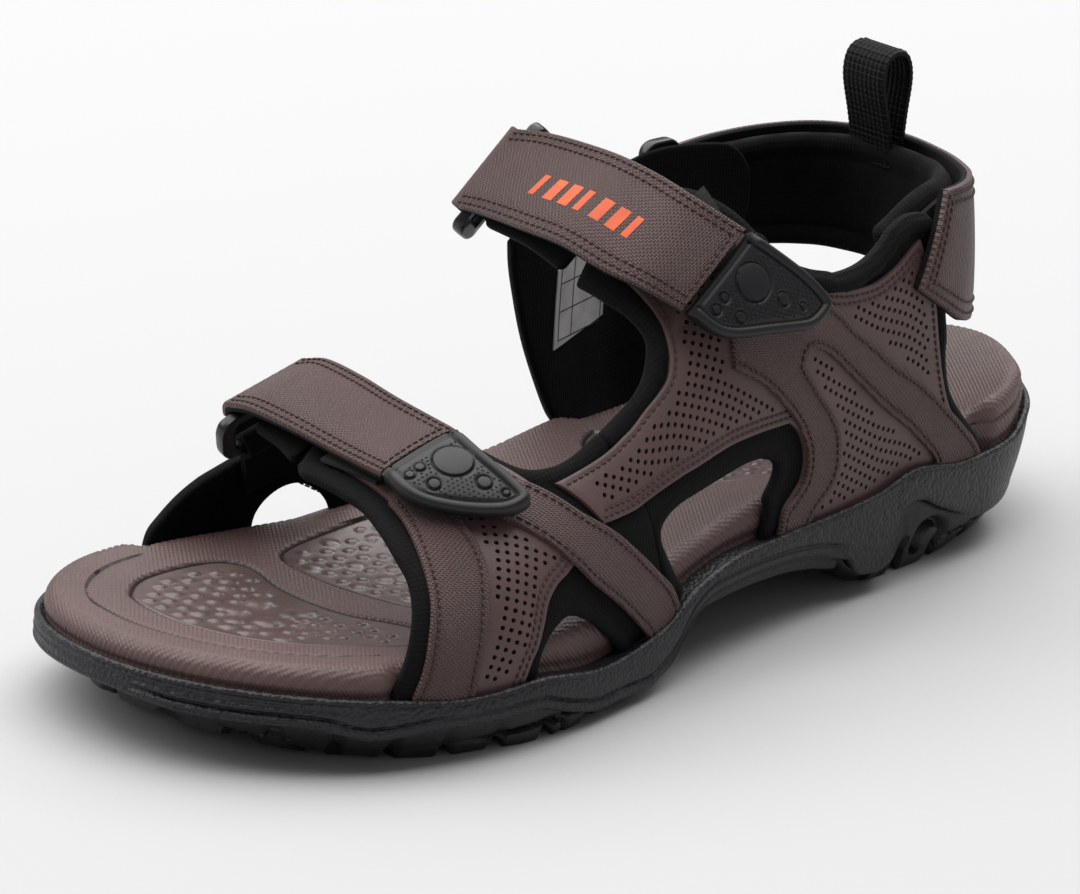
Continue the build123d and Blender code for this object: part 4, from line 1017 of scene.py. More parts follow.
# ---------------------------------------------------------------- outer side of the upper
LO, PO = -1.13, 0.0
L_vamp = loop_of([vamp_front, vamp_end, vamp_instep, vamp_seam, vamp_foot])
L_win1 = closed([fl(small_window), fl([small_window[-1], small_window[0]])])
L_quarter = loop_of([quarter_seam, quarter_instep, quarter_tongue, quarter_topline, quarter_rear, quarter_foot])
L_win2 = closed([fl(window_front), fl(window_top), fl(window_rear), fl([window_rear[-1], window_front[0]])])
L_vp, L_vo, L_do = loop_of(vamp_panel), loop_of(vamp_overlay), loop_of(diagonal_overlay)
L_qp, L_qo = loop_of(quarter_panel), loop_of(quarter_overlay)

r_front = spline2(fl(vamp_front + vamp_end[1:]), 0.8)
r_instep = spline2(fl(vamp_instep), 0.8)
r_win1 = spline2(fl(small_window), 0.8)
r_win2 = np.vstack([spline2(fl(window_front), 0.8), spline2(fl(window_top), 0.8), spline2(fl(window_rear), 0.8)])
r_qinst = np.vstack([spline2(fl(quarter_instep), 0.8), spline2(fl(quarter_tongue), 0.8)])
r_top = spline2(fl(quarter_topline), 0.8)
r_rear = spline2(fl(quarter_rear), 0.8)


def cut_window(loop, win):
    """Removes a window that is open at the foot edge: only its part inside the loop."""
    q = win[inside(win, loop) & (seg_dist(win, loop, True) > 0.5)]
    return q


def with_window(runs, win_runs, foot_a=-3.0):
    return None


# the windows run below the foot line, so the two linings follow them in one outline
def notch(loop, win):
    """Loop with the window's notch taken out of its foot edge."""
    ins = inside(win, loop)
    n = len(win)
    # rotate so that the first inside point follows an outside one
    k = [i for i in range(n) if ins[i] and not ins[i - 1]][0]
    w = np.roll(win, -k, axis=0)
    m_ = int(np.argmin(np.roll(ins, -k).astype(int))) or n
    part = w[:m_]
    a, b = part[0], part[-1]
    ia = int(np.argmin(((loop - a) ** 2).sum(1)))
    ib = int(np.argmin(((loop - b) ** 2).sum(1)))
    if ia > ib:
        ia, ib = ib, ia
        part = part[::-1]
    new = np.vstack([loop[:ia], part, loop[ib + 1:]])
    return new


L_vamp_n = notch(L_vamp, L_win1)
L_quarter_n = notch(L_quarter, L_win2)


def grown(loop, dist):
    s = 1.0 if area2(loop) > 0 else -1.0
    q = shifted(loop, -dist * s, True)
    return resample(np.vstack([q, q[:1]]), 0.7)[:-1]


L_vamp_n, L_quarter_n = grown(L_vamp_n, 0.55), grown(L_quarter_n, 0.55)

vamp_lining = sheet("vamp_lining", SKO, [L_vamp_n],
                    lining_top(LO, [(r_front, 4.6, 1.25), (r_win1, 3.0, 0.35), (r_instep, 4.2, 0.7)]),
                    lining_bottom(-3.23), M_NEO, 1.7, fine=(0.25, 0.8, 1.6, 2.4, 3.3, 4.3))
give(vamp_lining, "root", "neoprene", "vamp_lining")
quarter_lining = sheet("quarter_lining", SKO, [L_quarter_n],
                       lining_top(LO, [(r_win2, 3.0, 0.35), (r_qinst, 4.4, 1.1), (r_top, 4.6, 2.2), (r_rear, 3.4, 0.9)]),
                       lining_bottom(-3.23), M_NEO, 1.8, fine=(0.25, 0.8, 1.6, 2.4, 3.3, 4.3))
give(quarter_lining, "root", "neoprene", "quarter_lining")

# stitch rows of the panels
vp = fls(vamp_panel)
st_vp = [row(vp[2], L_vp, 1.5), row(vp[2], L_vp, 3.1)]
vo = fls(vamp_overlay)
st_vo = [row(vo[0], L_vo, 1.6), row(vo[2], L_vo, 1.7)]
do = fls(diagonal_overlay)
st_do = [row(do[0], L_do, 1.6), row(do[2], L_do, 1.6)]
qp = fls(quarter_panel)
st_qp = [row(qp[1], L_qp, 1.6), row(qp[3], L_qp, 1.6), row(qp[3], L_qp, 3.2), row(qp[4], L_qp, 1.6),
         row(qp[6], L_qp, 1.6), row(qp[7], L_qp, 1.5), row(qp[7], L_qp, 3.1)]
qo = fls(quarter_overlay)
st_qo = [row(qo[0], L_qo, 1.6), row(qo[2], L_qo, 1.6), row(np.vstack([spline2(qo[4], 0.5)[:-1], spline2(qo[5], 0.5)]), L_qo, 1.6)]

H_vp = perforate(L_vp, [L_vo, L_do], margin=4.4, tilt=0.32)
H_qp = perforate(L_qp, [L_qo, L_do], margin=4.3, tilt=0.20)
ok = lambda rows_: [r for r in rows_ if r is not None]
vamp_panel_ob = sheet("vamp_panel", SKO, [L_vp], edge(PO), flat_off(-1.05), M_PERF, 1.5, holes=H_vp, lines=ok(st_vp), fine=(0.15, 0.45))
give(vamp_panel_ob, "root", "perforated_leather", "vamp_panel")
quarter_panel_ob = sheet("quarter_panel", SKO, [L_qp], edge(PO), flat_off(-1.05), M_PERF, 1.6, holes=H_qp, lines=ok(st_qp), fine=(0.15, 0.45))
give(quarter_panel_ob, "root", "perforated_leather", "quarter_panel")
vamp_overlay_ob = sheet("vamp_overlay", SKO, [L_vo], edge(1.18), flat_off(0.02), M_BROWN, 1.5, lines=ok(st_vo), fine=(0.15, 0.45))
give(vamp_overlay_ob, "root", "brown_leather", "vamp_overlay")
diagonal_overlay_ob = sheet("diagonal_overlay", SKO, [L_do], edge(1.22), flat_off(0.02), M_BROWN, 1.5, lines=ok(st_do), fine=(0.15, 0.45))
give(diagonal_overlay_ob, "root", "brown_leather", "diagonal_overlay")
quarter_overlay_ob = sheet("quarter_overlay", SKO, [L_qo], edge(1.18), flat_off(0.02), M_BROWN, 1.5, lines=ok(st_qo), fine=(0.15, 0.45))
give(quarter_overlay_ob, "root", "brown_leather", "quarter_overlay")
s1 = stitches("vamp_panel_stitching", SKO, st_vp, 0.0, M_THREAD, wobble=0.08)
s2 = stitches("vamp_overlay_stitching", SKO, st_vo, 1.18, M_THREAD, wobble=0.05)
s3 = stitches("diagonal_overlay_stitching", SKO, st_do, 1.22, M_THREAD, wobble=0.05)
s4 = stitches("quarter_panel_stitching", SKO, st_qp, 0.0, M_THREAD, wobble=0.10)
s5 = stitches("quarter_overlay_stitching", SKO, st_qo, 1.18, M_THREAD, wobble=0.05)

# path beside the topline roll; no overcast thread is made from it
zz = shifted(resample(r_top, 2.6), -4.9 if seg_dist(shifted(resample(r_top, 2.6), -4.9), L_qp, True).mean() < seg_dist(shifted(resample(r_top, 2.6), 4.9), L_qp, True).mean() else 4.9)


# ---------------------------------------------------------------- inner side of the upper
def inset(runs, k, yc, ac):
    return [[(yc + (y - yc) * k, ac + (a - ac) * k) for y, a in run] for run in runs]


def clip_foot(run, lim=186.0):
    return [(y, min(a, lim)) for y, a in run]


Li_vamp = loop_of(in_vamp, SKI)
if area2(Li_vamp) < 0:
    Li_vamp = Li_vamp[::-1]
Li_win = closed([fl(in_window, SKI), fl([in_window[-1], in_window[0]], SKI)])
Li_vamp_n = notch(Li_vamp, Li_win)
Li_q = loop_of(in_quarter, SKI)
iv = spline2(fl(in_vamp[0] + in_vamp[1][1:] + in_vamp[2][1:], SKI), 0.8)
iq = np.vstack([spline2(fl(in_quarter[0], SKI), 0.8), spline2(fl(in_quarter[1], SKI), 0.8), spline2(fl(in_quarter[2], SKI), 0.8)])
ivl = sheet("inner_vamp_lining", SKI, [Li_vamp_n], lining_top(LO, [(iv, 4.0, 0.9)]), lining_bottom(-3.23), M_NEO, 1.8, fine=(0.25, 0.8, 1.6, 2.4, 3.3))
give(ivl, "root", "neoprene", "inner_vamp_lining")
iql = sheet("inner_quarter_lining", SKI, [Li_q], lining_top(LO, [(iq, 4.0, 0.9)]), lining_bottom(-3.23), M_NEO, 2.0, fine=(0.25, 0.8, 1.6, 2.4, 3.3))
give(iql, "root", "neoprene", "inner_quarter_lining")


def shrink(loop, dist):
    s = 1.0 if area2(loop) > 0 else -1.0
    return shifted(loop, dist * s, True)


Li_vo = shrink(Li_vamp_n, 4.4)
Li_vo = resample(np.vstack([Li_vo, Li_vo[:1]]), 0.7)[:-1]
ivo = sheet("inner_vamp_overlay", SKI, [Li_vo], edge(0.05), flat_off(-1.05), M_BROWN, 1.7, lines=[shrink(Li_vo, 1.6)], fine=(0.15, 0.45))
give(ivo, "root", "brown_leather", "inner_vamp_overlay")
s6 = stitches("inner_vamp_stitching", SKI, [shrink(Li_vo, 1.6)], 0.05, M_THREAD, wobble=0.05)
Li_qp = shrink(Li_q, 4.4)
Li_qp = resample(np.vstack([Li_qp, Li_qp[:1]]), 0.7)[:-1]
iqo_runs = [rises([(35, 25), (34, 29), (31, 34), (27, 42), (22, 54), (17.5, 67), (15, 76), (14, 83)]),
            rises([(14, 83), (22, 86.5), (32, 87)]),
            rises([(32, 87), (44, 74), (58, 58), (72, 44), (86, 33), (92, 29.5), (95, 25)]),
            rises([(95, 25), (80, 25)]),
            rises([(80, 25), (78, 29), (66, 40), (54, 53), (46, 60), (40, 58), (39, 50), (43, 38), (47, 29), (48, 25)]),
            rises([(48, 25), (35, 25)])]
Li_qo = loop_of(iqo_runs, SKI)
H_iq = perforate(Li_qp, [Li_qo], margin=4.2, tilt=0.2)
iqp = sheet("inner_quarter_panel", SKI, [Li_qp], edge(PO), flat_off(-1.05), M_PERF, 1.8, holes=H_iq, lines=[shrink(Li_qp, 1.6)], fine=(0.15, 0.45))
give(iqp, "root", "perforated_leather", "inner_quarter_panel")
iqo = sheet("inner_quarter_overlay", SKI, [Li_qo], edge(1.18), flat_off(0.02), M_BROWN, 1.7, lines=[shrink(Li_qo, 1.6)], fine=(0.15, 0.45))
give(iqo, "root", "brown_leather", "inner_quarter_overlay")
s7 = stitches("inner_quarter_stitching", SKI, [shrink(Li_qp, 1.6)], 0.0, M_THREAD, wobble=0.05)
s8 = stitches("inner_quarter_overlay_stitching", SKI, [shrink(Li_qo, 1.6)], 1.18, M_THREAD, wobble=0.05)

# size label inside, blank but for ruled lines
lab0, lab1 = rise(36, 73)[1], rise(36, 51)[1]
Lb = closed([fl([(25.5, lab0), (47.5, lab0)], SKI), fl([(47.5, lab0), (47.5, lab1)], SKI), fl([(47.5, lab1), (25.5, lab1)], SKI), fl([(25.5, lab1), (25.5, lab0)], SKI)])
lab = sheet("size_label", SKI, [Lb], flat_off(-3.30), flat_off(-3.62), M_LABEL, 2.0, fine=())
give(lab, "root", "label", "size_label")
lo_, hi_ = Lb.min(0), Lb.max(0)
ink = []
for i, t in enumerate((0.08, 0.36, 0.64, 0.92)):
    yv = lo_[1] + (hi_[1] - lo_[1]) * t
    ink.append(np.array([[lo_[0] + 1.4, yv - 0.14], [hi_[0] - 1.4, yv - 0.14], [hi_[0] - 1.4, yv + 0.14], [lo_[0] + 1.4, yv + 0.14]]))
for t in (0.07, 0.33, 0.93):
    xv = lo_[0] + (hi_[0] - lo_[0]) * t
    ink.append(np.array([[xv - 0.14, lo_[1] + 1.8], [xv + 0.14, lo_[1] + 1.8], [xv + 0.14, hi_[1] - 1.8], [xv - 0.14, hi_[1] - 1.8]]))
ink_obs = [sheet(f"label_rule_{i}", SKI, [resample(np.vstack([q, q[:1]]), 1.0)[:-1]], flat_off(-3.58), flat_off(-3.68), M_INK, 4.0, fine=()) for i, q in enumerate(ink)]
rules = join("label_rules", ink_obs)
give(rules, "root", "label")


# ---------------------------------------------------------------- straps
front_low = [(-42, -76.5, 58.2), (-34, -77.5, 59.6), (-19, -79, 59.6), (0, -81, 58.8), (15.5, -83, 58.8)]
front_high = [(-38.5, -54.5, 65.2), (-31, -54.5, 67), (-16, -58, 67.8), (-1, -61, 67.2), (17.5, -61, 64.8)]
front_tab = ([(16.2, -83, 58.7), (27, -84.5, 56), (35, -77, 52.8), (43, -67.5, 52.5)],
             [(18.2, -61, 64.7), (28, -62, 62), (37, -61.3, 58.3), (44.5, -61.5, 55.2)])
ankle_low = [(-35, -10, 94.3), (-25, -11.5, 95.5), (-9, -14, 96.5), (5, -15, 96.5), (17, -14, 93.5), (27, -10.5, 90.5), (34.3, -4, 85.2)]
ankle_high = [(-29.5, 4.5, 112), (-20, 6, 113), (-8, 6.5, 113.3), (3, 7.5, 112.6), (14, 9, 110.3), (23, 11, 107), (32.3, 19, 99.7)]
ankle_tab = ([(35, -3, 84.3), (40, 4, 78), (43, 18, 76.5), (44.3, 31, 75)],
             [(33, 20, 99), (36.5, 26, 94), (40.5, 33.5, 87), (43.5, 39, 79.5)])
heel_low = [(-46, 73, 89), (-45, 89.5, 90), (-39.5, 105, 91), (-30, 117, 91.5), (-12, 123, 92), (7, 119.2, 92.5), (22.5, 110, 94), (30.5, 102, 95), (34.5, 94.5, 95.5), (36.3, 86.5, 96)]
heel_high = [(-46.5, 73, 65), (-45.5, 90, 64), (-40, 106, 63), (-30.5, 118.5, 61.5), (-12, 124.6, 60), (9, 120.5, 58), (26, 110, 57), (35.5, 96.5, 60.5), (39, 84, 68), (39.8, 75, 74)]


def band_loop(x0, x1, w, r0=0.0, r1=0.0, step=0.7):
    """Rectangle along a band, with rounded corners at either end."""
    def corner(cx, cy, r, a0):
        if r <= 0:
            return [(cx, cy)]
        return [(cx + r * math.cos(math.radians(a)), cy + r * math.sin(math.radians(a))) for a in np.linspace(a0, a0 + 90, 7)]
    pts = (corner(x0 + r0, r0, r0, 180) + corner(x1 - r1, r1, r1, 270) + corner(x1 - r1, w - r1, r1, 0) + corner(x0 + r0, w - r0, r0, 90))
    q = np.array(pts + [pts[0]])
    out = []
    for a, b in zip(q[:-1], q[1:]):
        n = max(int(np.linalg.norm(b - a) / step), 1)
        out.append(a + (b - a) * (np.arange(n) / n)[:, None])
    return np.vstack(out)


def line2(a, b, step=0.5):
    a, b = np.asarray(a, float), np.asarray(b, float)
    n = max(int(np.linalg.norm(b - a) / step), 2)
    return a + (b - a) * np.linspace(0, 1, n + 1)[:, None]


def build_strap(name, band, x1, body, wrap=13.2, gap_end=2.4):
    w = band.width
    face_loop = band_loop(-7.0, x1, w)
    r = 0.5
    rows_ = []
    for v, e in ((1.3, 0.6), (3.1, 0.6)):
        rows_.append(line2((e, v), (x1 - (gap_end if v > 2 else 1.0), v)))
        rows_.append(line2((e, w - v), (x1 - (gap_end if v > 2 else 1.0), w - v)))
    rows_.append(line2((x1 - 1.7, 3.1), (x1 - 1.7, w - 3.1)))
    face = sheet(name, band, [face_loop], edge(0.0, 0.5), flat_off(-1.4), M_BROWN, 1.5, lines=rows_, fine=(0.15, 0.5))
    give(face, body, "brown_leather", name)
    st = stitches(name + "_stitching", band, rows_, 0.0, M_THREAD, body=body, wobble=0.05)
    back_loop = band_loop(-wrap, x1 + 1.4, w, 0, 0)

    def lt(d, P):
        t = np.clip((-7.2 - P[:, 0]) / 0.8, 0, 1)
        return -1.5 + 1.4 * t

    def lb(d, P):
        r_ = 0.7
        return -2.8 + (1 - np.sqrt(np.clip(1 - (1 - np.minimum(d, r_) / r_) ** 2, 0, 1))) * 0.6
    back_ = sheet(name + "_lining", band, [back_loop], lt, lb, M_LOOP, 2.0, fine=(0.3, 0.7))
    give(back_, body, "neoprene", name + "_lining")
    return face


front = Band(front_low, front_high, fold=True)
ankle = Band(ankle_low, ankle_high, fold=True)
build_strap("front_strap", front, front.length, "front_strap")
build_strap("ankle_strap", ankle, ankle.length, "ankle_strap")


# moulded tabs
def tab(name, band_pts, joint_d, circles, body, corner_r, u_out):
    lo_p, hi_p = (np.asarray(p, float) + [AX, 0, 0] for p in band_pts)
    S = np.linspace(0, len(lo_p) - 1, 41)
    A, B = cat(lo_p, S), cat(hi_p, S)
    v = np.linspace(0, 1, 15)
    e = 0.01
    u = unit(cat(lo_p, np.minimum(S + e, 3)) + cat(hi_p, np.minimum(S + e, 3)) - cat(lo_p, np.maximum(S - e, 0)) - cat(hi_p, np.maximum(S - e, 0)))
    d = unit(B - A)
    nn = unit(np.cross(u, d))
    G = A[:, None] + (B - A)[:, None] * v[None, :, None] + nn[:, None] * (0.8 * (1 - (2 * v - 1) ** 2))[None, :, None]
    pts = G.reshape(-1, 3)
    nrm = unit(nn.mean(0))
    org = pts.mean(0)
    sf = Smooth(pts, org, d.mean(0), nrm)
    outline = [sf.flat(A[:1])[0], *[sf.flat(A[[k]])[0] for k in range(1, 41)], *[sf.flat(B[[k]])[0] for k in range(40, -1, -1)]]
    q = np.array(outline)
    # round the free corners
    q = resample(np.vstack([q, q[:1]]), 0.5)[:-1]
    s = 1.0 if area2(q) > 0 else -1.0
    if s < 0:
        q = q[::-1]
    j0, j1 = sf.flat(A[:1])[0], sf.flat(B[:1])[0]
    k0 = int(np.argmin(((q - j0) ** 2).sum(1)))
    k1 = int(np.argmin(((q - j1) ** 2).sum(1)))
    n = len(q)
    sm = q.copy()
    w = 9
    dj = np.minimum(np.linalg.norm(q - j0, axis=1), np.linalg.norm(q - j1, axis=1))
    onj = seg_dist(q, np.array([j0, j1])) < 0.3
    for _ in range(2):
        pad = np.vstack([sm[-w:], sm, sm[:w]])
        ker = np.hanning(2 * w + 1)
        ker /= ker.sum()
        av = np.stack([np.convolve(pad[:, c], ker, "valid") for c in (0, 1)], -1)
        t = np.clip((dj - 2.0) / 4.0, 0, 1)[:, None]
        t[onj] = 0
        sm = sm * (1 - t) + av * t
    q = resample(np.vstack([sm, sm[:1]]), 0.45)[:-1]
    jl = np.array([j0, j1])
    circ = []
    for (cp, r) in circles:
        circ.append((sf.flat(np.asarray(cp, float)[None])[0], r))

    def top(dd, P):
        dj_ = seg_dist(P, jl)
        other = q[seg_dist(q, jl) > 0.35]
        de = seg_dist(P, other)
        rim_w = 2.5
        x = np.clip(de / rim_w, 0, 1)
        rim = 0.6 + 0.42 * np.sin(np.pi * np.clip(x, 0, 1)) ** 0.5 * (de < rim_w)
        rnd = 1.2
        rim = rim - (1 - np.sqrt(np.clip(1 - (1 - np.minimum(de, rnd) / rnd) ** 2, 0, 1))) * 1.6
        field = np.full(len(P), 0.35)
        z = np.where(de < rim_w, rim, field)
        ditch = np.exp(-((de - rim_w - 0.35) / 0.38) ** 2)
        z = z - 0.45 * ditch
        z = z - 0.45 * np.exp(-((dj_ - 1.0) / 0.4) ** 2) * (de > rim_w)
        for c, r in circ:
            rr = np.linalg.norm(P - c, axis=1)
            z = z - 0.5 * np.exp(-((rr - r - 0.25) / 0.32) ** 2)
            z = np.where(rr < r, 0.45 + 0.35 * np.sqrt(np.clip(1 - (rr / r) ** 2, 0, 1)) * min(1.0, r / 2.5), z)
        near = np.clip(np.minimum(np.linalg.norm(P - j0, axis=1), np.linalg.norm(P - j1, axis=1)) / 3.0, 0, 1)
        return z * near + (1 - near) * -0.1

    ring_pts = []
    for c, r in circ:
        for rr in (r - 0.45, r - 0.12, r + 0.05, r + 0.3, r + 0.65):
            m_ = max(int(2 * math.pi * rr / 0.45), 8)
            a = np.linspace(0, 2 * math.pi, m_, endpoint=False)
            ring_pts.append(c + rr * np.stack([np.cos(a), np.sin(a)], -1))
    ex = np.vstack(ring_pts)
    ex = ex[inside(ex, q) & (seg_dist(ex, q, True) > 0.4)]

    def bot(dd, P):
        r_ = 1.1
        return -3.0 + (1 - np.sqrt(np.clip(1 - (1 - np.minimum(dd, r_) / r_) ** 2, 0, 1))) * 0.8
    ob = sheet(name, sf, [q], top, bot, M_TABS, 0.8, fine=(0.15, 0.4, 0.8, 1.2, 1.6, 2.0, 2.4, 2.7, 3.0, 3.4), extra=ex)
    # raised diamond studs over the field
    g = hexgrid(q.min(0), q.max(0), 1.25)
    okk = inside(g, q) & (seg_dist(g, q, True) > 3.6) & (seg_dist(g, jl) > 1.9)
    for c, r in circ:
        okk &= np.linalg.norm(g - c, axis=1) > r + 1.0
    g = g[okk]
    V, F = [], []
    hs = 0.43
    dirs = np.array([(1, 0), (0, 1), (-1, 0), (0, -1)], float) * hs
    for lvl, sc in ((0.30, 1.0), (0.56, 0.45)):
        for dd_ in dirs:
            V.append(sf.map(g + dd_ * sc, lvl))
    N = len(g)
    for k in range(4):
        a, b = k, (k + 1) % 4
        F += [(a * N + i, b * N + i, (b + 4) * N + i, (a + 4) * N + i) for i in range(N)]
    F += [(4 * N + i, 5 * N + i, 6 * N + i, 7 * N + i) for i in range(N)]
    studs = new_obj(name + "_studs", np.vstack(V), F, np.vstack([g] * 8), 30)
    studs.data.materials.append(M_TABS)
    give(ob, body, "tab_rubber", name)
    give(studs, body, "tab_rubber")
    return sf


cam_c = np.array(loc) / MM
cb, cr, cu = np.array(back), np.array(r2), np.array(u2)


def seen(px, sfn=None):
    return (px[0] - 540) / 6733.894 * cr - (px[1] - 447) / 6733.894 * cu - cb


def on_plane(px, o, n):
    r = seen(px)
    t = ((o - cam_c) @ n) / (r @ n)
    return cam_c + t * r


def circle_points(px_list, band_pts):
    lo_p, hi_p = (np.asarray(p, float) + [AX, 0, 0] for p in band_pts)
    o = (lo_p[0] + lo_p[1] + lo_p[2] + hi_p[0] + hi_p[1] + hi_p[2]) / 6
    n = unit(np.cross(lo_p[2] + hi_p[2] - lo_p[0] - hi_p[0], hi_p[1] - lo_p[1]))
    return [(on_plane((x, y), o + n * 0.8, n), r) for x, y, r in px_list]


front_circles = circle_points([(452.7, 463.3, 4.6), (419.7, 468.9, 1.1), (409.8, 476.1, 1.05), (434, 485.8, 1.35), (484.2, 483.2, 1.6), (506.5, 491.9, 0.75)], front_tab)
ankle_circles = circle_points([(752.6, 282.2, 4.5), (724.5, 297.5, 1.0), (717, 309.6, 1.05), (740.8, 317.3, 1.25), (783.2, 298.9, 1.5), (804.6, 305.8, 0.75)], ankle_tab)
tab("front_strap_tab", front_tab, 0, front_circles, "front_strap", 3, None)
tab("ankle_strap_tab", ankle_tab, 0, ankle_circles, "ankle_strap", 3, None)

# heel strap with its lining, the face cut back at the end
heel = Band(heel_low, heel_high, fold=True)
w = heel.width
hl = band_loop(-7.0, heel.length, w, 0, 0)
hl2 = band_loop(-13.2, heel.length + 0.9, w, 0, 0)
rows_ = [line2((0.6, 1.3), (heel.length - 2.0, 1.3)), line2((0.6, 3.1), (heel.length - 3.6, 3.1)),
         line2((0.6, w - 1.3), (heel.length - 2.0, w - 1.3)), line2((0.6, w - 3.1), (heel.length - 3.6, w - 3.1)),
         line2((heel.length - 1.5, 1.6), (heel.length - 1.5, w - 1.6)), line2((heel.length - 3.4, 3.2), (heel.length - 3.4, w - 3.2))]
hs_ = sheet("heel_strap", heel, [hl], edge(0.0, 0.5), flat_off(-1.4), M_BROWN, 1.6, lines=rows_, fine=(0.15, 0.5))
give(hs_, "heel_strap", "brown_leather", "heel_strap")
st = stitches("heel_strap_stitching", heel, rows_, 0.0, M_THREAD, body="heel_strap", wobble=0.05)
hb_ = sheet("heel_strap_lining", heel, [hl2], lambda d, P: -1.5 + 1.4 * np.clip((-7.2 - P[:, 0]) / 0.8, 0, 1), flat_off(-2.8, 0.5), M_LOOP, 2.2, fine=(0.3, 0.7))
give(hb_, "heel_strap", "neoprene", "heel_strap_lining")

# padded collar round the heel
collar_low = [(-38, 81.5, 63), (-36.5, 91, 62), (-33, 101.5, 61.5), (-25, 111, 61), (-12, 116, 60), (4, 114, 58), (17, 107, 57), (25.5, 96.5, 57), (28.8, 84, 62), (28.6, 70, 70)]
collar_high = [(-37.5, 81.5, 90), (-36, 90, 90), (-32.5, 100.5, 90.5), (-24.5, 109.5, 91), (-12, 114, 91.5), (3.5, 112.5, 92), (16, 106, 93.5), (24, 96, 94.5), (27, 84, 93.5), (27, 71, 87)]
collar = Band(collar_high, collar_low, crown=1.2)
cw = collar.width
cl = band_loop(0, collar.length, cw, 2.0, 2.0, 0.9)


def puff(d, P):
    x = np.clip(d / 3.4, 0, 1)
    v = np.minimum(P[:, 1], cw - P[:, 1])
    seam = np.exp(-((v - 5.2) / 0.8) ** 2) * 0.75
    return 2.6 * np.sqrt(np.clip(1 - (1 - x) ** 2, 0, 1)) - seam + 0.10 * np.sin(P[:, 0] * 0.55 + P[:, 1] * 0.2)


col_ob = sheet("heel_collar", collar, [cl], lambda d, P: puff(d, P), lambda d, P: -puff(d, P), M_NEO, 1.8, fine=(0.3, 0.8, 1.5, 2.4, 3.4))
give(col_ob, "root", "neoprene", "heel_collar")

wing = Band([(27.4, 99, 91.5), (30.4, 91, 92), (32.6, 81, 90), (33.4, 73, 85)], [(28.9, 99, 63), (32.4, 89, 67), (34.2, 79.5, 73), (34.4, 73, 77)], crown=0.3)
wl = band_loop(0, wing.length, wing.width, 0, 2.5)
wob = sheet("heel_loop_wing", wing, [wl], edge(0.45, 0.4), flat_off(-0.6), M_LOOP, 1.6, fine=(0.3, 0.7))
give(wob, "root", "hook_and_loop", "heel_loop_wing")

# fixed straps that pass through the rings
for nm, lo_p, hi_p in (("front_strap_base", [(-34.5, -75.5, 54.2), (-25, -77, 53.2), (-17.2, -79, 51.6)], [(-31.5, -57, 61.0), (-24, -58.5, 60.0), (-16.8, -60, 58.0)]),
                       ("ankle_strap_base", [(-27.5, -8.5, 91.5), (-12, -9.5, 90.5), (0.5, -10, 87.5)], [(-23, 5.5, 107), (-10, 7.5, 106.5), (2.0, 9.5, 102.5)])):
    bb = Band(lo_p, hi_p, crown=0.3)
    lp = band_loop(0, bb.length, bb.width, 2.0, 2.0)
    o = sheet(nm, bb, [lp], edge(0.1, 0.8), flat_off(-2.2, 0.7), M_NEO, 1.6, fine=(0.3, 0.8))
    give(o, "root", "neoprene", nm)

# pull tab: ribbed webbing
pl = np.array([(-1.7, -5), (-1.9, 0), (-2.9, 7), (-4.6, 17), (-3.2, 22.6), (0.4, 24.2), (3.8, 22.4), (4.9, 17), (3.2, 8), (2.2, 2), (1.6, -3)], float)
q = spline2(pl, 0.35)
tq = unit(np.gradient(q, axis=0))
nq = np.stack([-tq[:, 1], tq[:, 0]], -1)
ex_ = unit(np.array([0.05, 1, 0.06]))
ez_ = unit(np.array([1, -0.05, 0]))
ez_ = unit(ez_ - ex_ * (ex_ @ ez_))
ey_ = np.cross(ez_, ex_)
org = np.array([-12 + AX, 115.2, 91])
sl = np.arange(len(q)) * 0.35
nz = 21
V, UV = [], []
for sgn in (1, -1):
    for i in range(len(q)):
        for j in range(nz):
            zz_ = (j / (nz - 1) - 0.5) * 14.0
            e_ = min(j, nz - 1 - j) / (nz - 1) * 14.0
            th = 0.8 + 0.14 * math.cos(2 * math.pi * sl[i] / 1.4)
            th *= 0.62 if e_ < 0.3 else 1.0
            th *= 1.1 if 0.5 < e_ < 1.6 else 1.0
            p2 = q[i] + nq[i] * th * sgn
            V.append(org + ex_ * p2[0] + ey_ * p2[1] + ez_ * zz_)
            UV.append((sl[i], zz_))
n_ = len(q)
F = []
for k, sgn in enumerate((1, -1)):
    o_ = k * n_ * nz
    for i in range(n_ - 1):
        for j in range(nz - 1):
            f = (o_ + i * nz + j, o_ + i * nz + j + 1, o_ + (i + 1) * nz + j + 1, o_ + (i + 1) * nz + j)
            F.append(f if sgn < 0 else f[::-1])
for i in range(n_ - 1):
    a, b2 = i * nz, (i + 1) * nz
    o_ = n_ * nz
    F.append((a, b2, b2 + o_, a + o_))
    F.append((a + nz - 1, a + nz - 1 + o_, b2 + nz - 1 + o_, b2 + nz - 1))
for j in range(nz - 1):
    o_ = n_ * nz
    F.append((j, j + o_, j + 1 + o_, j + 1))
    e_ = (n_ - 1) * nz
    F.append((e_ + j, e_ + j + 1, e_ + j + 1 + o_, e_ + j + o_))
pt = new_obj("pull_tab", np.array(V), F, np.array(UV), 50)
pt.data.materials.append(M_WEB)
give(pt, "root", "webbing", "pull_tab")


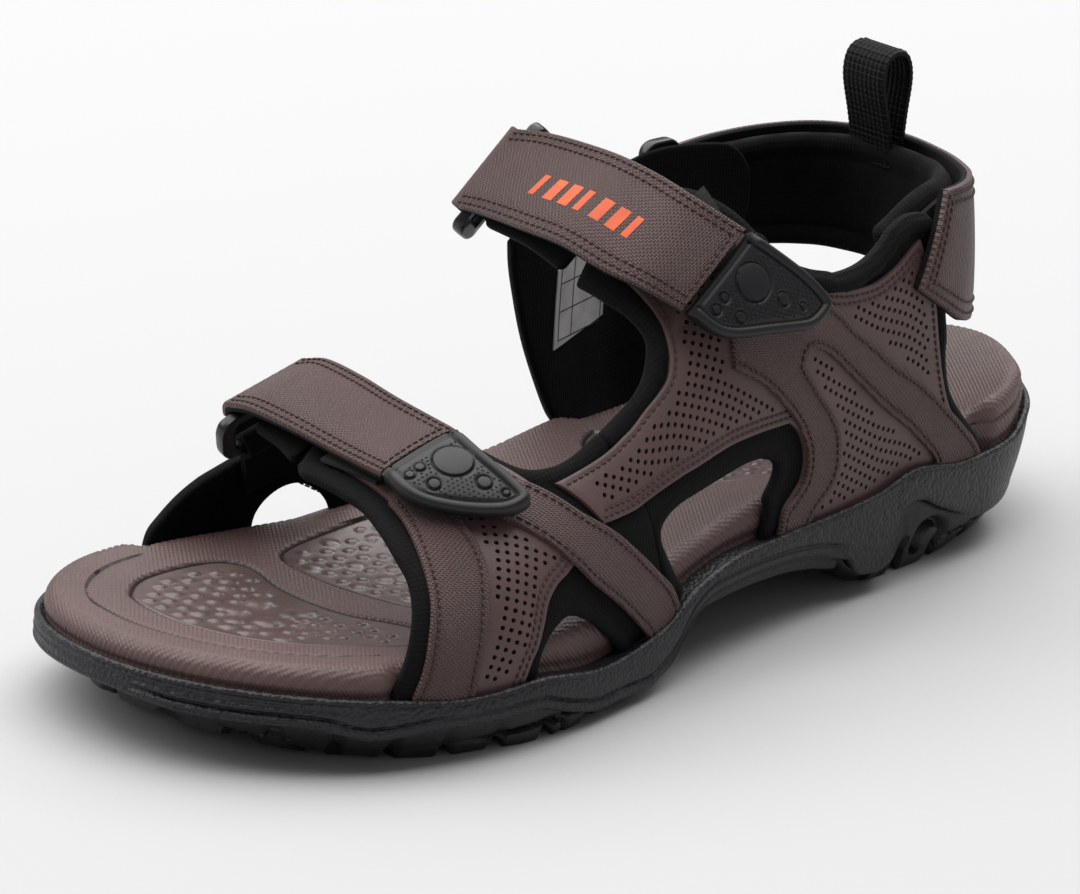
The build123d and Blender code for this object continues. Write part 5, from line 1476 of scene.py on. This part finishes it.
# moulded rings: flat-sided section, thicker at the two free sides
def ring_loop(name, bar, hinge, d, width, body):
    bar, hinge, d = (np.asarray(v, float) for v in (bar, hinge, d))
    w_ = unit(hinge - bar)
    n3 = np.cross(d, w_)
    W, H, R = width / 2 + 2.6, 4.8, 3.2
    o = (bar + hinge) / 2
    pts = []
    for cx, cy, a0 in ((W - R, H - R, 0), (-W + R, H - R, 90), (-W + R, -H + R, 180), (W - R, -H + R, 270)):
        for a in np.linspace(a0, a0 + 90, 9):
            pts.append((cx + R * math.cos(math.radians(a)), cy + R * math.sin(math.radians(a))))
    p = np.array(pts)
    p = resample(np.vstack([p, p[:1]]), 0.5)[:-1]
    t = unit(np.roll(p, -1, axis=0) - np.roll(p, 1, axis=0))
    nn = np.stack([t[:, 1], -t[:, 0]], -1)
    side = np.clip((np.abs(p[:, 0]) - (W - 2.5)) / 2.0, 0, 1)
    side = side * side * (3 - 2 * side)
    V, UV = [], []
    prof = []
    for sx, sy in ((1, 1), (-1, 1), (-1, -1), (1, -1)):
        cyc = [(1.0, 0.62), (0.93, 0.86), (0.72, 1.0)]
        cyc = cyc if sx * sy > 0 else cyc[::-1]
        prof += [(sx * a, sy * b_) for a, b_ in cyc]
    for i in range(len(p)):
        a = 1.38 + 0.62 * side[i]
        b_ = 1.28 + 0.32 * side[i]
        for k, (x, y) in enumerate(prof):
            q2 = p[i] + nn[i] * x * a
            V.append(o + d * q2[0] + w_ * q2[1] + n3 * y * b_)
            UV.append((i * 0.5, k * 0.8))
    m_, n_ = len(prof), len(p)
    F = []
    for i in range(n_):
        for k in range(m_):
            i2, k2 = (i + 1) % n_, (k + 1) % m_
            F.append((i * m_ + k, i * m_ + k2, i2 * m_ + k2, i2 * m_ + k))
    V = np.array(V)
    f = F[0]
    fn = np.cross(V[f[1]] - V[f[0]], V[f[2]] - V[f[0]])
    c0 = V[:m_].mean(0)
    if fn @ (V[list(f)].mean(0) - c0) < 0:
        F = [g_[::-1] for g_ in F]
    ob = new_obj(name, V, F, np.array(UV), 28)
    ob.data.materials.append(M_RING)
    give(ob, body, "ring_plastic", name)


ring_loop("front_ring", [-37.686, -64.238, 57.232], [-40.059, -61.077, 48.484], [0.14989, 0.94216, 0.29978], 23.35, "front_ring")
ring_loop("ankle_ring", [-30.344, 0.861, 100.084], [-34.376, 8.173, 95.347], [0.23372, 0.61616, 0.75214], 23.53, "ankle_ring")
ring_loop("heel_ring", [-39.949, 72.717, 76.901], [-40.713, 63.147, 76.917], [-0.02083, 0.0, -0.99978], 24.01, "heel_ring")

# CAD pieces kept as they are: keepers and the hook and loop patches
for nm in ("front_ring_keeper", "ankle_ring_keeper", "heel_ring_keeper"):
    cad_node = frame["nodes"][nm]
    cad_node.data.materials.clear()
    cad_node.data.materials.append(M_CAD)
for nm in ("front_hook_patch", "ankle_hook_patch", "heel_hook_patch", "front_loop_patch", "ankle_loop_patch"):
    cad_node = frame["nodes"][nm]
    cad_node.data.materials.clear()
    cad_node.data.materials.append(M_FUZZ)

# generic printed bars across the ankle strap
def bars(band, x0, x1, v0, v1, n, slant):
    V, F, UV = [], [], []
    pitch = (x1 - x0) / n
    for k in range(n):
        a = x0 + k * pitch
        wd = pitch * (0.62 if k % 3 else 0.38)
        g = []
        for j in range(9):
            v = v0 + (v1 - v0) * j / 8
            sh = slant * (v - v0)
            for i in range(4):
                g.append((a + sh + wd * i / 3, v))
        g = np.array(g)
        base = len(V)
        P3 = band.map(g, 0.05)
        V += list(P3)
        UV += list(g)
        for j in range(8):
            for i in range(3):
                q0 = base + j * 4 + i
                F.append((q0, q0 + 1, q0 + 5, q0 + 4))
    V = np.array(V)
    f = F[0]
    fn = np.cross(V[f[1]] - V[f[0]], V[f[2]] - V[f[0]])
    out = band.map(np.array([UV[0]]), 1.0)[0] - band.map(np.array([UV[0]]), 0.0)[0]
    if fn @ out < 0:
        F = [g_[::-1] for g_ in F]
    ob = new_obj("ankle_strap_print", V, F, np.array(UV), 40)
    ob.data.materials.append(M_ORANGE)
    give(ob, "ankle_strap", "brown_leather")


PRINT = (19.0, 53.0, 7.6, 13.0)
bars(ankle, *PRINT, 7, 0.25)


# rounded rear flap of the inner quarter, lying over the collar's end
flap_top = [(-36, 46, 92), (-34.5, 58, 94.5), (-33.4, 70, 94), (-32.4, 82, 92), (-31.8, 91, 88.5)]
flap_low = [(-36, 46, 66), (-34.5, 58, 64), (-33.4, 70, 64), (-32.6, 82, 64.5), (-32, 91, 67)]
flap = Band(flap_top, flap_low, crown=0.3)
flap_loop = band_loop(0, flap.length, flap.width, 1.5, 9.0)
flap_ob = sheet("inner_quarter_flap", flap, [flap_loop], edge(0.8, 0.9), flat_off(-0.8, 0.8), M_NEO, 1.6, fine=(0.2, 0.5, 0.9))
give(flap_ob, "root", "neoprene")
stitches("inner_quarter_flap_stitching", flap, [line2((2.0, 2.6), (flap.length - 9, 2.6)), line2((2.0, flap.width - 2.6), (flap.length - 9, flap.width - 2.6))], 0.8, M_BTHREAD, wobble=0.05)


# ---------------------------------------------------------------- sole
def plan_loop(step=0.8):
    n = 15
    ys_ = 145 * np.sin(math.pi / 2 * (-1 + 2 * np.arange(n) / (n - 1)))
    xo_, xi_ = out_x(ys_), in_x(ys_)
    pts = [((xo_[0] + xi_[0]) / 2, -145.0)] + [(xo_[i], ys_[i]) for i in range(1, n - 1)] + [((xo_[-1] + xi_[-1]) / 2, 145.0)] + \
          [(xi_[i], ys_[i]) for i in range(n - 2, 0, -1)]
    p = np.array(pts)
    m_ = len(p)
    ext = np.vstack([p[-3:], p, p[:3]])
    s = np.linspace(3, 3 + m_, 60 * m_ + 1)
    q = cat(ext, s)
    return resample(q, step)[:-1]


def normals(q):
    t = unit(np.roll(q, -2, axis=0) - np.roll(q, 2, axis=0))
    return np.stack([t[:, 1], -t[:, 0]], -1)


def rim_at(x, y):
    y = np.clip(y, -145, 145)
    w_ = np.clip((x - in_x(y)) / np.maximum(out_x(y) - in_x(y), 20), 0, 1)
    return rim_in(y) * (1 - w_) + rim_out(y) * w_


def foot_at(x, y):
    y = np.clip(y, -145, 145)
    c = (out_x(y) + in_x(y)) / 2
    w_ = np.maximum((out_x(y) - in_x(y)) / 2 - 5, 12)
    r = np.minimum(np.abs(x - c) / w_, 1)
    end = np.maximum(0, 1 - np.maximum(0, (y - 88) / 50) ** 3)
    return footbed_edge(y) - footbed_dish(y) * (1 - r ** 2.4) * end


low_out = curve([-146, -140, -123, -110, -97, -83, -70, -59, -48, -40, -31, -23, -18, -14, -9.5, -2, 10, 25, 38, 46, 50.5, 52.5, 56, 62, 66.5, 68.2, 69.2, 70.6, 74, 78.2, 82, 90, 97, 104, 120, 135, 146],
                [15.5, 13.4, 12.1, 8.6, 9.5, 9.1, 9.0, 5.7, 3.2, 3.4, 2.8, 4.8, 8, 12.3, 15.2, 17.3, 17.5, 16.8, 15, 12.9, 11.3, 8.1, 6.2, 5.6, 7, 10.5, 17, 19.6, 20.4, 19.9, 17.8, 14, 11.2, 9.6, 9.2, 11, 14])
low_in = curve([-146, -130, -110, -90, -70, -55, -40, -20, 0, 30, 48, 58, 66, 70, 76, 84, 94, 106, 120, 135, 146],
               [15.5, 12.5, 9, 8.4, 8, 6.5, 6, 11, 16.5, 17.5, 14, 9, 9.5, 15, 17.5, 16, 12.5, 9.8, 9.2, 11, 14])
Q = plan_loop(0.75)
QN = normals(Q)
if ((Q + QN - Q.mean(0)) ** 2).sum() < ((Q - Q.mean(0)) ** 2).sum():
    QN = -QN
for _ in range(3):
    QN = unit(QN + np.roll(QN, 1, axis=0) + np.roll(QN, -1, axis=0))
QX, QY = Q[:, 0], Q[:, 1]
QS = np.concatenate([[0], np.cumsum(np.linalg.norm(np.diff(Q, axis=0), axis=1))])
QW = np.clip((QX - in_x(QY)) / np.maximum(out_x(QY) - in_x(QY), 20), 0, 1)
QR = rim_at(QX, QY)
QL = low_in(QY) * (1 - QW) + low_out(QY) * QW
heel_w = np.clip((QY - 104) / 34, 0, 1) ** 1.2
K = len(Q)


def ring_at(inset_, z):
    inset_ = np.broadcast_to(inset_, (K,))
    z = np.broadcast_to(z, (K,))
    p = Q - QN * inset_[:, None]
    return np.column_stack([p, z])


def strip(name, rings, uvs, material, caps=(None, None), smooth_=40, flip=False):
    V = np.vstack(rings)
    F = []
    R = len(rings)
    for r in range(R - 1):
        for i in range(K):
            j = (i + 1) % K
            F.append((r * K + i, r * K + j, (r + 1) * K + j, (r + 1) * K + i))
    if flip:
        F = [f[::-1] for f in F]
    ob = new_obj(name, V, F, uvs, smooth_)
    ob.data.materials.append(material)
    return ob


def centre_rings(inset0, zf, n):
    """Rings that close a cap from an inset towards the middle line."""
    p0 = Q - QN * inset0
    y1 = np.clip(Q[:, 1] * 0.86, -124, 124)
    x1 = (out_x(y1) + in_x(y1)) / 2
    p1 = np.stack([x1, y1], -1)
    out = []
    for t in np.linspace(0, 1, n + 1)[1:]:
        p = p0 * (1 - t) + p1 * t
        out.append(np.column_stack([p, zf(p[:, 0], p[:, 1])]))
    return out


def gauss(x, w_):
    return np.exp(-(x / w_) ** 2)


# midsole: side wall, lower ledge, top land
rings, lv = [], []
H_ = QR - QL
for e_, dz in ((7.5, 0.9), (5.5, 0.9), (3.4, 0.9), (2.6, 0.9), (2.1, 0.75), (1.7, 0.25), (1.2, 0.02), (0.75, 0.02), (0.35, 0.22), (0.1, 0.6), (0.0, 1.1)):
    rings.append(ring_at(e_, QR - dz))
nl = 30
front_w = np.clip((-QY - 112) / 14, 0, 1)
for i in range(1, nl):
    t = i / nl
    z = QR - 1.1 - (H_ - 2.0) * t
    dz = z - QL
    bulge = 0.35 * np.sin(math.pi * t)
    ins = 0.35 - bulge
    ins = ins + 0.7 * gauss(dz - 3.0, 0.5) * np.clip((H_ - 6) / 2, 0, 1) * np.clip((-QY - 5) / 15, 0, 1)
    ins = ins - 0.25 * gauss(dz - 1.6, 1.2)
    arch_w = np.clip((QY + 28) / 8, 0, 1) * np.clip((50 - QY) / 5, 0, 1)
    ins = ins + arch_w * (0.8 * gauss(dz - 3.6, 0.5) + 0.5 * np.clip((3.6 - dz) / 0.6, 0, 1))
    ins = ins + front_w * 0.22 * np.sin((QR - z) * 2 * math.pi / 2.2)
    ins = ins + 6.0 * heel_w * t ** 1.5
    rings.append(ring_at(ins, z))
for e_, dz in ((0.25, 0.55), (0.55, 0.2), (1.0, 0.0), (1.6, 0.15), (2.2, 0.7), (3.2, 1.6), (5.0, 1.8)):
    rings.append(ring_at(e_ + 6.0 * heel_w, QL + dz))
inner_z = np.minimum(sole_under(QY), QL + 1.8)
rings.append(ring_at(6.5 + 5.0 * heel_w, np.minimum(sole_under(QY) + 0.5, QL + 1.8)))
rings += centre_rings(11.5, lambda x, y: sole_under(np.clip(y, -145, 145)) + 0.0, 5)
top_cap = centre_rings(7.5, lambda x, y: np.minimum(rim_at(x, y) - 0.9, foot_at(x, y) - 3.5), 8)[::-1]
rings = top_cap + rings
uv = np.vstack([np.column_stack([QS, np.full(K, i * 0.8)]) for i in range(len(rings))])
mid = strip("midsole", rings, uv, M_MID, flip=True)
mid.data.materials.append(M_TREAD)
zc = np.array([r_[:, 2] for r_ in rings])
zc = (zc[:-1] + zc[1:]) / 2
low_band = (zc - QL[None, :] < 3.6) & ((QY > -24) & (QY < 47))[None, :]
mid.data.polygons.foreach_set("material_index", low_band.astype(np.int32).ravel())
give(mid, "root", "midsole_foam", "midsole")

# rubber tread: side lugs and the sole's underside
def tread_z(x, y):
    y_ = np.clip(y, -145, 145)
    base = tread_under(y_)
    c = (out_x(y_) + in_x(y_)) / 2
    u = y + 0.32 * np.abs(x - c)
    ph = (u / 13.5) % 1.0
    g1 = np.clip(1 - np.abs(ph - 0.5) / 0.16, 0, 1) ** 0.5
    g2 = np.maximum(np.clip(1 - np.abs(x + 20 - AX) / 1.7, 0, 1), np.clip(1 - np.abs(x - 12 - AX) / 1.7, 0, 1)) ** 0.5
    g = np.maximum(g1, g2 * (np.abs(x - c) < 34))
    return base + 3.0 * g


midw = np.clip((QY + 22) / 8, 0, 1) * np.clip((54 - QY) / 6, 0, 1)
TB = tread_z(QX - QN[:, 0] * 2, QY - QN[:, 1] * 2)
TT = QL + 1.2
ledge = np.clip((QY + 30) / 10, 0, 1) * np.clip((52 - QY) / 3, 0, 1)
TB = np.where(midw > 0, TB * (1 - midw) + (QL + 0.6 - 4.2 * ledge) * midw, TB)
TB = np.minimum(TB, TT + 0.2)
rings = [ring_at(7.5 + 6.0 * heel_w, TT + 0.4), ring_at(3.2 + 6.0 * heel_w, TT)]
nt_ = 22
bev_y = [-146, -110, -100, -93, -82, -71, -58, -47, 62, 75, 85, 95, 105, 126, 146]
bev_v = [9, 9, 7, 5, 4, 1.5, 1.0, 2.0, 5.5, 5, 5, 6, 8, 9, 9]
BEV = np.interp(QY, bev_y, bev_v)


def slots(y, z, w_):
    """Depth of the side slots of the heel lug and of the forefoot lugs, outer side."""
    a = 2.6 * gauss(np.hypot((y - 86) / 1.15, (z - 7.0)) - 4.6, 0.9) * (z > 4.2)
    b = 2.2 * gauss(y - 76.6 - 0.12 * (z - 6) ** 2 * np.sign(z - 6) * 0.5, 0.75) * (z < 9.5)
    c_ = 1.4 * gauss(z - 6.5 - 0.08 * (y - 101), 0.45) * np.clip((y - 92) / 3, 0, 1) * np.clip((112 - y) / 4, 0, 1)
    f1 = 1.6 * gauss(z - 4.6 - 0.05 * (y + 66), 0.6) * np.clip((y + 86) / 6, 0, 1) * np.clip((-52 - y) / 6, 0, 1)
    f2 = 1.6 * gauss(np.hypot((y + 62) / 1.3, z - 1.6) - 2.6, 0.6)
    f3 = 1.5 * gauss(z - 6.8, 0.5) * np.clip((y + 138) / 3, 0, 1) * np.clip((-124 - y) / 3, 0, 1)
    return (a + b + c_ + f1 + f2 + f3) * np.clip((w_ - 0.6) * 5, 0, 1)


for i in range(nt_ + 1):
    t = i / nt_
    z = TT + (TB - TT) * t
    dep = TT - z
    ins = 1.9 + 1.1 * np.clip(1 - dep / 2.2, 0, 1) ** 2 + 6.0 * heel_w
    ins = ins + (BEV - 6.0 * heel_w).clip(0) * t ** 1.4 * (1 - midw)
    ins = ins + midw * (0.9 + 0.7 * t ** 3)
    ins = ins + 0.8 * np.clip((t - 0.85) / 0.15, 0, 1) ** 2
    ins = ins + slots(QY, z, QW) + slots(QY, z, 1 - QW)
    ins = ins + 0.35 * gauss(z - 4.2, 0.5) * (1 - midw)
    archw = np.clip((QY - 66) / 3, 0, 1) * np.clip((100 - QY) / 8, 0, 1) * np.clip((z - 9) / 6, 0, 1)
    ins = ins + 1.6 * archw
    rings.append(ring_at(ins, z))
LAST = np.maximum(3.4, (1.9 + 0.8 + BEV * (1 - midw))) + 1.2 * midw
rings.append(ring_at(LAST + 0.6, TB + 0.0))
rings += centre_rings((LAST + 0.6)[:, None], lambda x, y: np.where((np.clip((y + 22) / 8, 0, 1) * np.clip((54 - y) / 6, 0, 1)) > 0.5, sole_under(np.clip(y, -145, 145)) - 2.6, tread_z(x, y)), 34)
uv = np.vstack([np.column_stack([QS, np.full(K, i * 0.8)]) for i in range(len(rings))])
tr_ = strip("outsole", rings, uv, M_TREAD, flip=True, smooth_=35)
give(tr_, "root", "tread_rubber", "outsole_forefoot", "outsole_heel")


# ---------------------------------------------------------------- footbed
def smooth01(x):
    x = np.clip(x, 0, 1)
    return x * x * (3 - 2 * x)


def covered(y, w_):
    o = smooth01((y + 109) / 5) * smooth01((110 - y) / 6)
    i = np.maximum(smooth01((y + 98) / 5) * smooth01((-17 - y) / 6), smooth01((y - 24) / 6) * smooth01((104 - y) / 6))
    return o * smooth01((w_ - 0.45) * 8) + i * smooth01((0.55 - w_) * 8)


Q0 = Q - QN * 2.5
cv = covered(QY, QW)
for _ in range(4):
    cv = (cv + np.roll(cv, 1) + np.roll(cv, -1)) / 3
FI = 2.5 + 3.6 * cv
FQ = Q - QN * FI[:, None]
FZ = foot_at(FQ[:, 0], FQ[:, 1])
FR = rim_at(FQ[:, 0], FQ[:, 1])
R_ = 4.6
rings = []
bot_z = FR - 2.5
top_z = FZ - R_
fh = top_z - FR
ns = 16
for i in range(ns + 1):
    t = i / ns
    z = bot_z + (top_z - bot_z) * t
    gz = FR + 0.52 * (FZ - FR)
    ins = 0.35 * gauss(z - FR - 0.2, 1.0) + 0.9 * gauss(z - gz, 0.45) * smooth01((QY - 30) / 30)
    ins = ins - 0.35 * smooth01((z - bot_z) / 6)
    ins = ins + 0.07 * np.cos(2 * math.pi * QS / 2.4) * (1 if i % 2 else -1)
    rings.append(ring_at(FI + ins, z))
ne = 20
E_IN = 9.0
for i in range(1, ne + 1):
    e_ = E_IN * i / ne
    c_ = np.minimum(e_, R_) / R_
    p = Q - QN * (FI + e_ - 0.35 * (1 - min(c_.max() if hasattr(c_, "max") else c_, 1)))[:, None]
    z = foot_at(p[:, 0], p[:, 1]) - R_ * (1 - np.sqrt(np.clip(1 - (1 - c_) ** 2, 0, 1)))
    kn = gauss(e_ - 2.6, 1.7) * 0.28
    z = z + kn * np.cos(2 * math.pi * QS / 2.25 + (math.pi if i % 4 < 2 else 0))
    rings.append(np.column_stack([p, z]))
uv = np.vstack([np.column_stack([QS, np.full(K, i * 0.5)]) for i in range(len(rings))])
fside = strip("footbed_side", rings, uv, M_FOOT, flip=False, smooth_=60)
give(fside, "root", "footbed_foam")

pod1 = np.array([(-30.6, -116.5), (-35.9, -108.6), (-37.5, -96.8), (-35.8, -86.2), (-31.4, -81.6), (-26.4, -81), (-15.8, -84), (-5, -84.7), (7.3, -83.3), (23.4, -78), (31.8, -87.2), (23.3, -98.9), (15.4, -108.6), (5.2, -116), (-6.8, -120.2), (-17.1, -120.9), (-26.3, -119.2)]) + [AX, 0]
pod2 = np.array([(-30.9, -67.8), (-32.7, -53.6), (-29.6, -36.6), (-21, -22), (-6, -15), (8, -20), (20, -34), (25, -50), (23, -62), (13.5, -68.3), (-0.2, -71.7), (-12.6, -73), (-24.6, -72.1)]) + [AX, 0]
pod3 = np.array([(-20, 22), (-24, 40), (-25, 62), (-24, 84), (-17, 101), (-2, 108), (13, 102), (21, 86), (23, 64), (21, 42), (15, 24), (-2, 15)]) + [AX, 0]


def closed_curve(p, step):
    ext = np.vstack([p[-3:], p, p[:3]])
    s = np.linspace(3, 3 + len(p), 40 * len(p) + 1)
    return resample(cat(ext, s), step)[:-1]


pods = [closed_curve(p, 0.8) for p in (pod1, pod2, pod3)]
for i, p in enumerate(pods):
    if area2(p) < 0:
        pods[i] = p[::-1]
inner_loop = Q - QN * (FI + E_IN)[:, None]
keep = np.ones(K, bool)
if area2(inner_loop) < 0:
    inner_rev = True
    base_loop = inner_loop[::-1]
else:
    inner_rev = False
    base_loop = inner_loop
domes = []
for k, p in enumerate(pods):
    g = hexgrid(p.min(0), p.max(0), 5.1)
    g = g + RNG.normal(0, 0.35, g.shape)
    g = g[inside(g, p) & (seg_dist(g, p, True) > 2.9)]
    c0 = p.mean(0)
    for x, y in g:
        r = 1.65 + 0.25 * RNG.random()
        if k == 0 and np.hypot(x - c0[0], (y - c0[1])) < 9:
            continue
        domes.append((x, y, r * (0.8 if (int(x * 7) % 3) else 1.15), 0.52))
    if k == 0:
        for dx, dy in ((-5.5, 3), (5.0, 4), (-4.5, -5.5), (5.5, -4.5)):
            domes.append((c0[0] + dx, c0[1] + dy, 3.3, 0.8))
D_ = np.array(domes)
inc = []
hull = closed_curve(np.array([(-36, -126), (-45, -112), (-47.5, -95), (-46, -75), (-42.5, -55), (-38.5, -35), (-31, -12), (-26, 10), (-4, 5), (12, -5), (26, -25), (34, -45), (38.5, -68), (39, -84), (33, -100), (24, -113), (10, -124), (-8, -130.5), (-24, -130.5)]) + [AX, 0], 0.9)
inc.append(np.vstack([hull, hull[:1]]))
ex = []
for x, y, r, h_ in domes:
    ex.append(np.array([[x, y]]))
    for q_, m_ in ((0.4, 6), (0.72, 10), (0.9, 12), (1.02, 12), (1.35, 9)):
        a = np.linspace(0, 2 * math.pi, m_, endpoint=False) + q_
        ex.append(np.stack([x + q_ * r * np.cos(a), y + q_ * r * np.sin(a)], -1))
grid = hexgrid(base_loop.min(0), base_loop.max(0), 1.7)
grid = grid[inside(grid, base_loop) & (seg_dist(grid, base_loop, True) > 0.8)]
near_d = np.concatenate([(np.hypot(grid[i:i + 2000, None, 0] - D_[None, :, 0], grid[i:i + 2000, None, 1] - D_[None, :, 1]) - 1.5 * D_[None, :, 2]).min(1) for i in range(0, len(grid), 2000)])
grid = grid[near_d > 0]
for p in pods:
    grid = grid[seg_dist(grid, p, True) > 1.6]
    for o in (0, 0.35, 0.75, 1.2, -0.4, -0.8, -1.4):
        ex.append(shifted(p, o, True) if o else p)
for l in inc:
    grid = grid[seg_dist(grid, l) > 1.0]
    for o in (0, 0.4, 0.8, -0.4, -0.8):
        ex.append(shifted(l, o) if o else l)
ex = np.vstack(ex)
ex = ex[inside(ex, base_loop) & (seg_dist(ex, base_loop, True) > 0.5)]
P, F = triangulate([base_loop], np.vstack([grid, ex]))
z = foot_at(P[:, 0], P[:, 1])
z0 = z.copy()
podmask = np.zeros(len(P))
for p in pods:
    dp = seg_dist(P, p, True)
    i_ = inside(P, p)
    z = z - np.where(i_, 0.45 * smooth01(dp / 1.2), 0) - 1.2 * gauss(dp, 0.5)
    podmask = np.maximum(podmask, i_ * 1.0)
for l in inc:
    z = z - 0.85 * gauss(seg_dist(P, l), 0.45) * (1 - podmask) * smooth01((-P[:, 1] - 22) / 12)
for i in range(0, len(P), 2000):
    rr = np.hypot(P[i:i + 2000, None, 0] - D_[None, :, 0], P[i:i + 2000, None, 1] - D_[None, :, 1]) / D_[None, :, 2]
    hh = np.where(rr < 1, D_[None, :, 3] * np.sqrt(np.clip(1 - rr ** 2, 0, 1)), 0)
    z[i:i + 2000] += hh.max(1)
dl = seg_dist(P, base_loop, True)
z = np.where(dl < 0.05, z0, z)
V = np.column_stack([P, z])
n_ = np.cross(V[F[:, 1]] - V[F[:, 0]], V[F[:, 2]] - V[F[:, 0]])
if n_[:, 2].sum() < 0:
    F = F[:, ::-1]
ftop = new_obj("footbed", V, [tuple(f) for f in F], P, 60)
ftop.data.materials.append(M_FOOT)
ftop.data.materials.append(M_GLOSS)
cen = P[F].mean(1)
in_pod = np.zeros(len(cen), bool)
for p in pods:
    in_pod |= inside(cen, p)
# faces along the pod outlines and the incised line get the dark brown material: painted shade in the grooves
groove = np.zeros(len(cen), bool)
for p in pods:
    groove |= seg_dist(cen, p, True) < 0.5
for l in inc:
    groove |= (seg_dist(cen, l) < 0.40) & ~in_pod & (cen[:, 1] < -45)
ftop.data.materials.append(M_GROOVE_SHADE)
ftop.data.polygons.foreach_set("material_index", np.where(groove, 2, in_pod.astype(int)).astype(np.int32))
give(ftop, "root", "footbed_foam", "footbed")


# ---------------------------------------------------------------- floor
bpy.ops.mesh.primitive_plane_add(size=12, location=(0, 0, 0))
floor = bpy.context.object
floor.name = "floor"
mf, nt, b = mat("floor")
b.inputs["Base Color"].default_value = (0.50, 0.50, 0.50, 1)
b.inputs["Roughness"].default_value = 0.9
b.inputs["Specular IOR Level"].default_value = 0.1
floor.data.materials.append(mf)
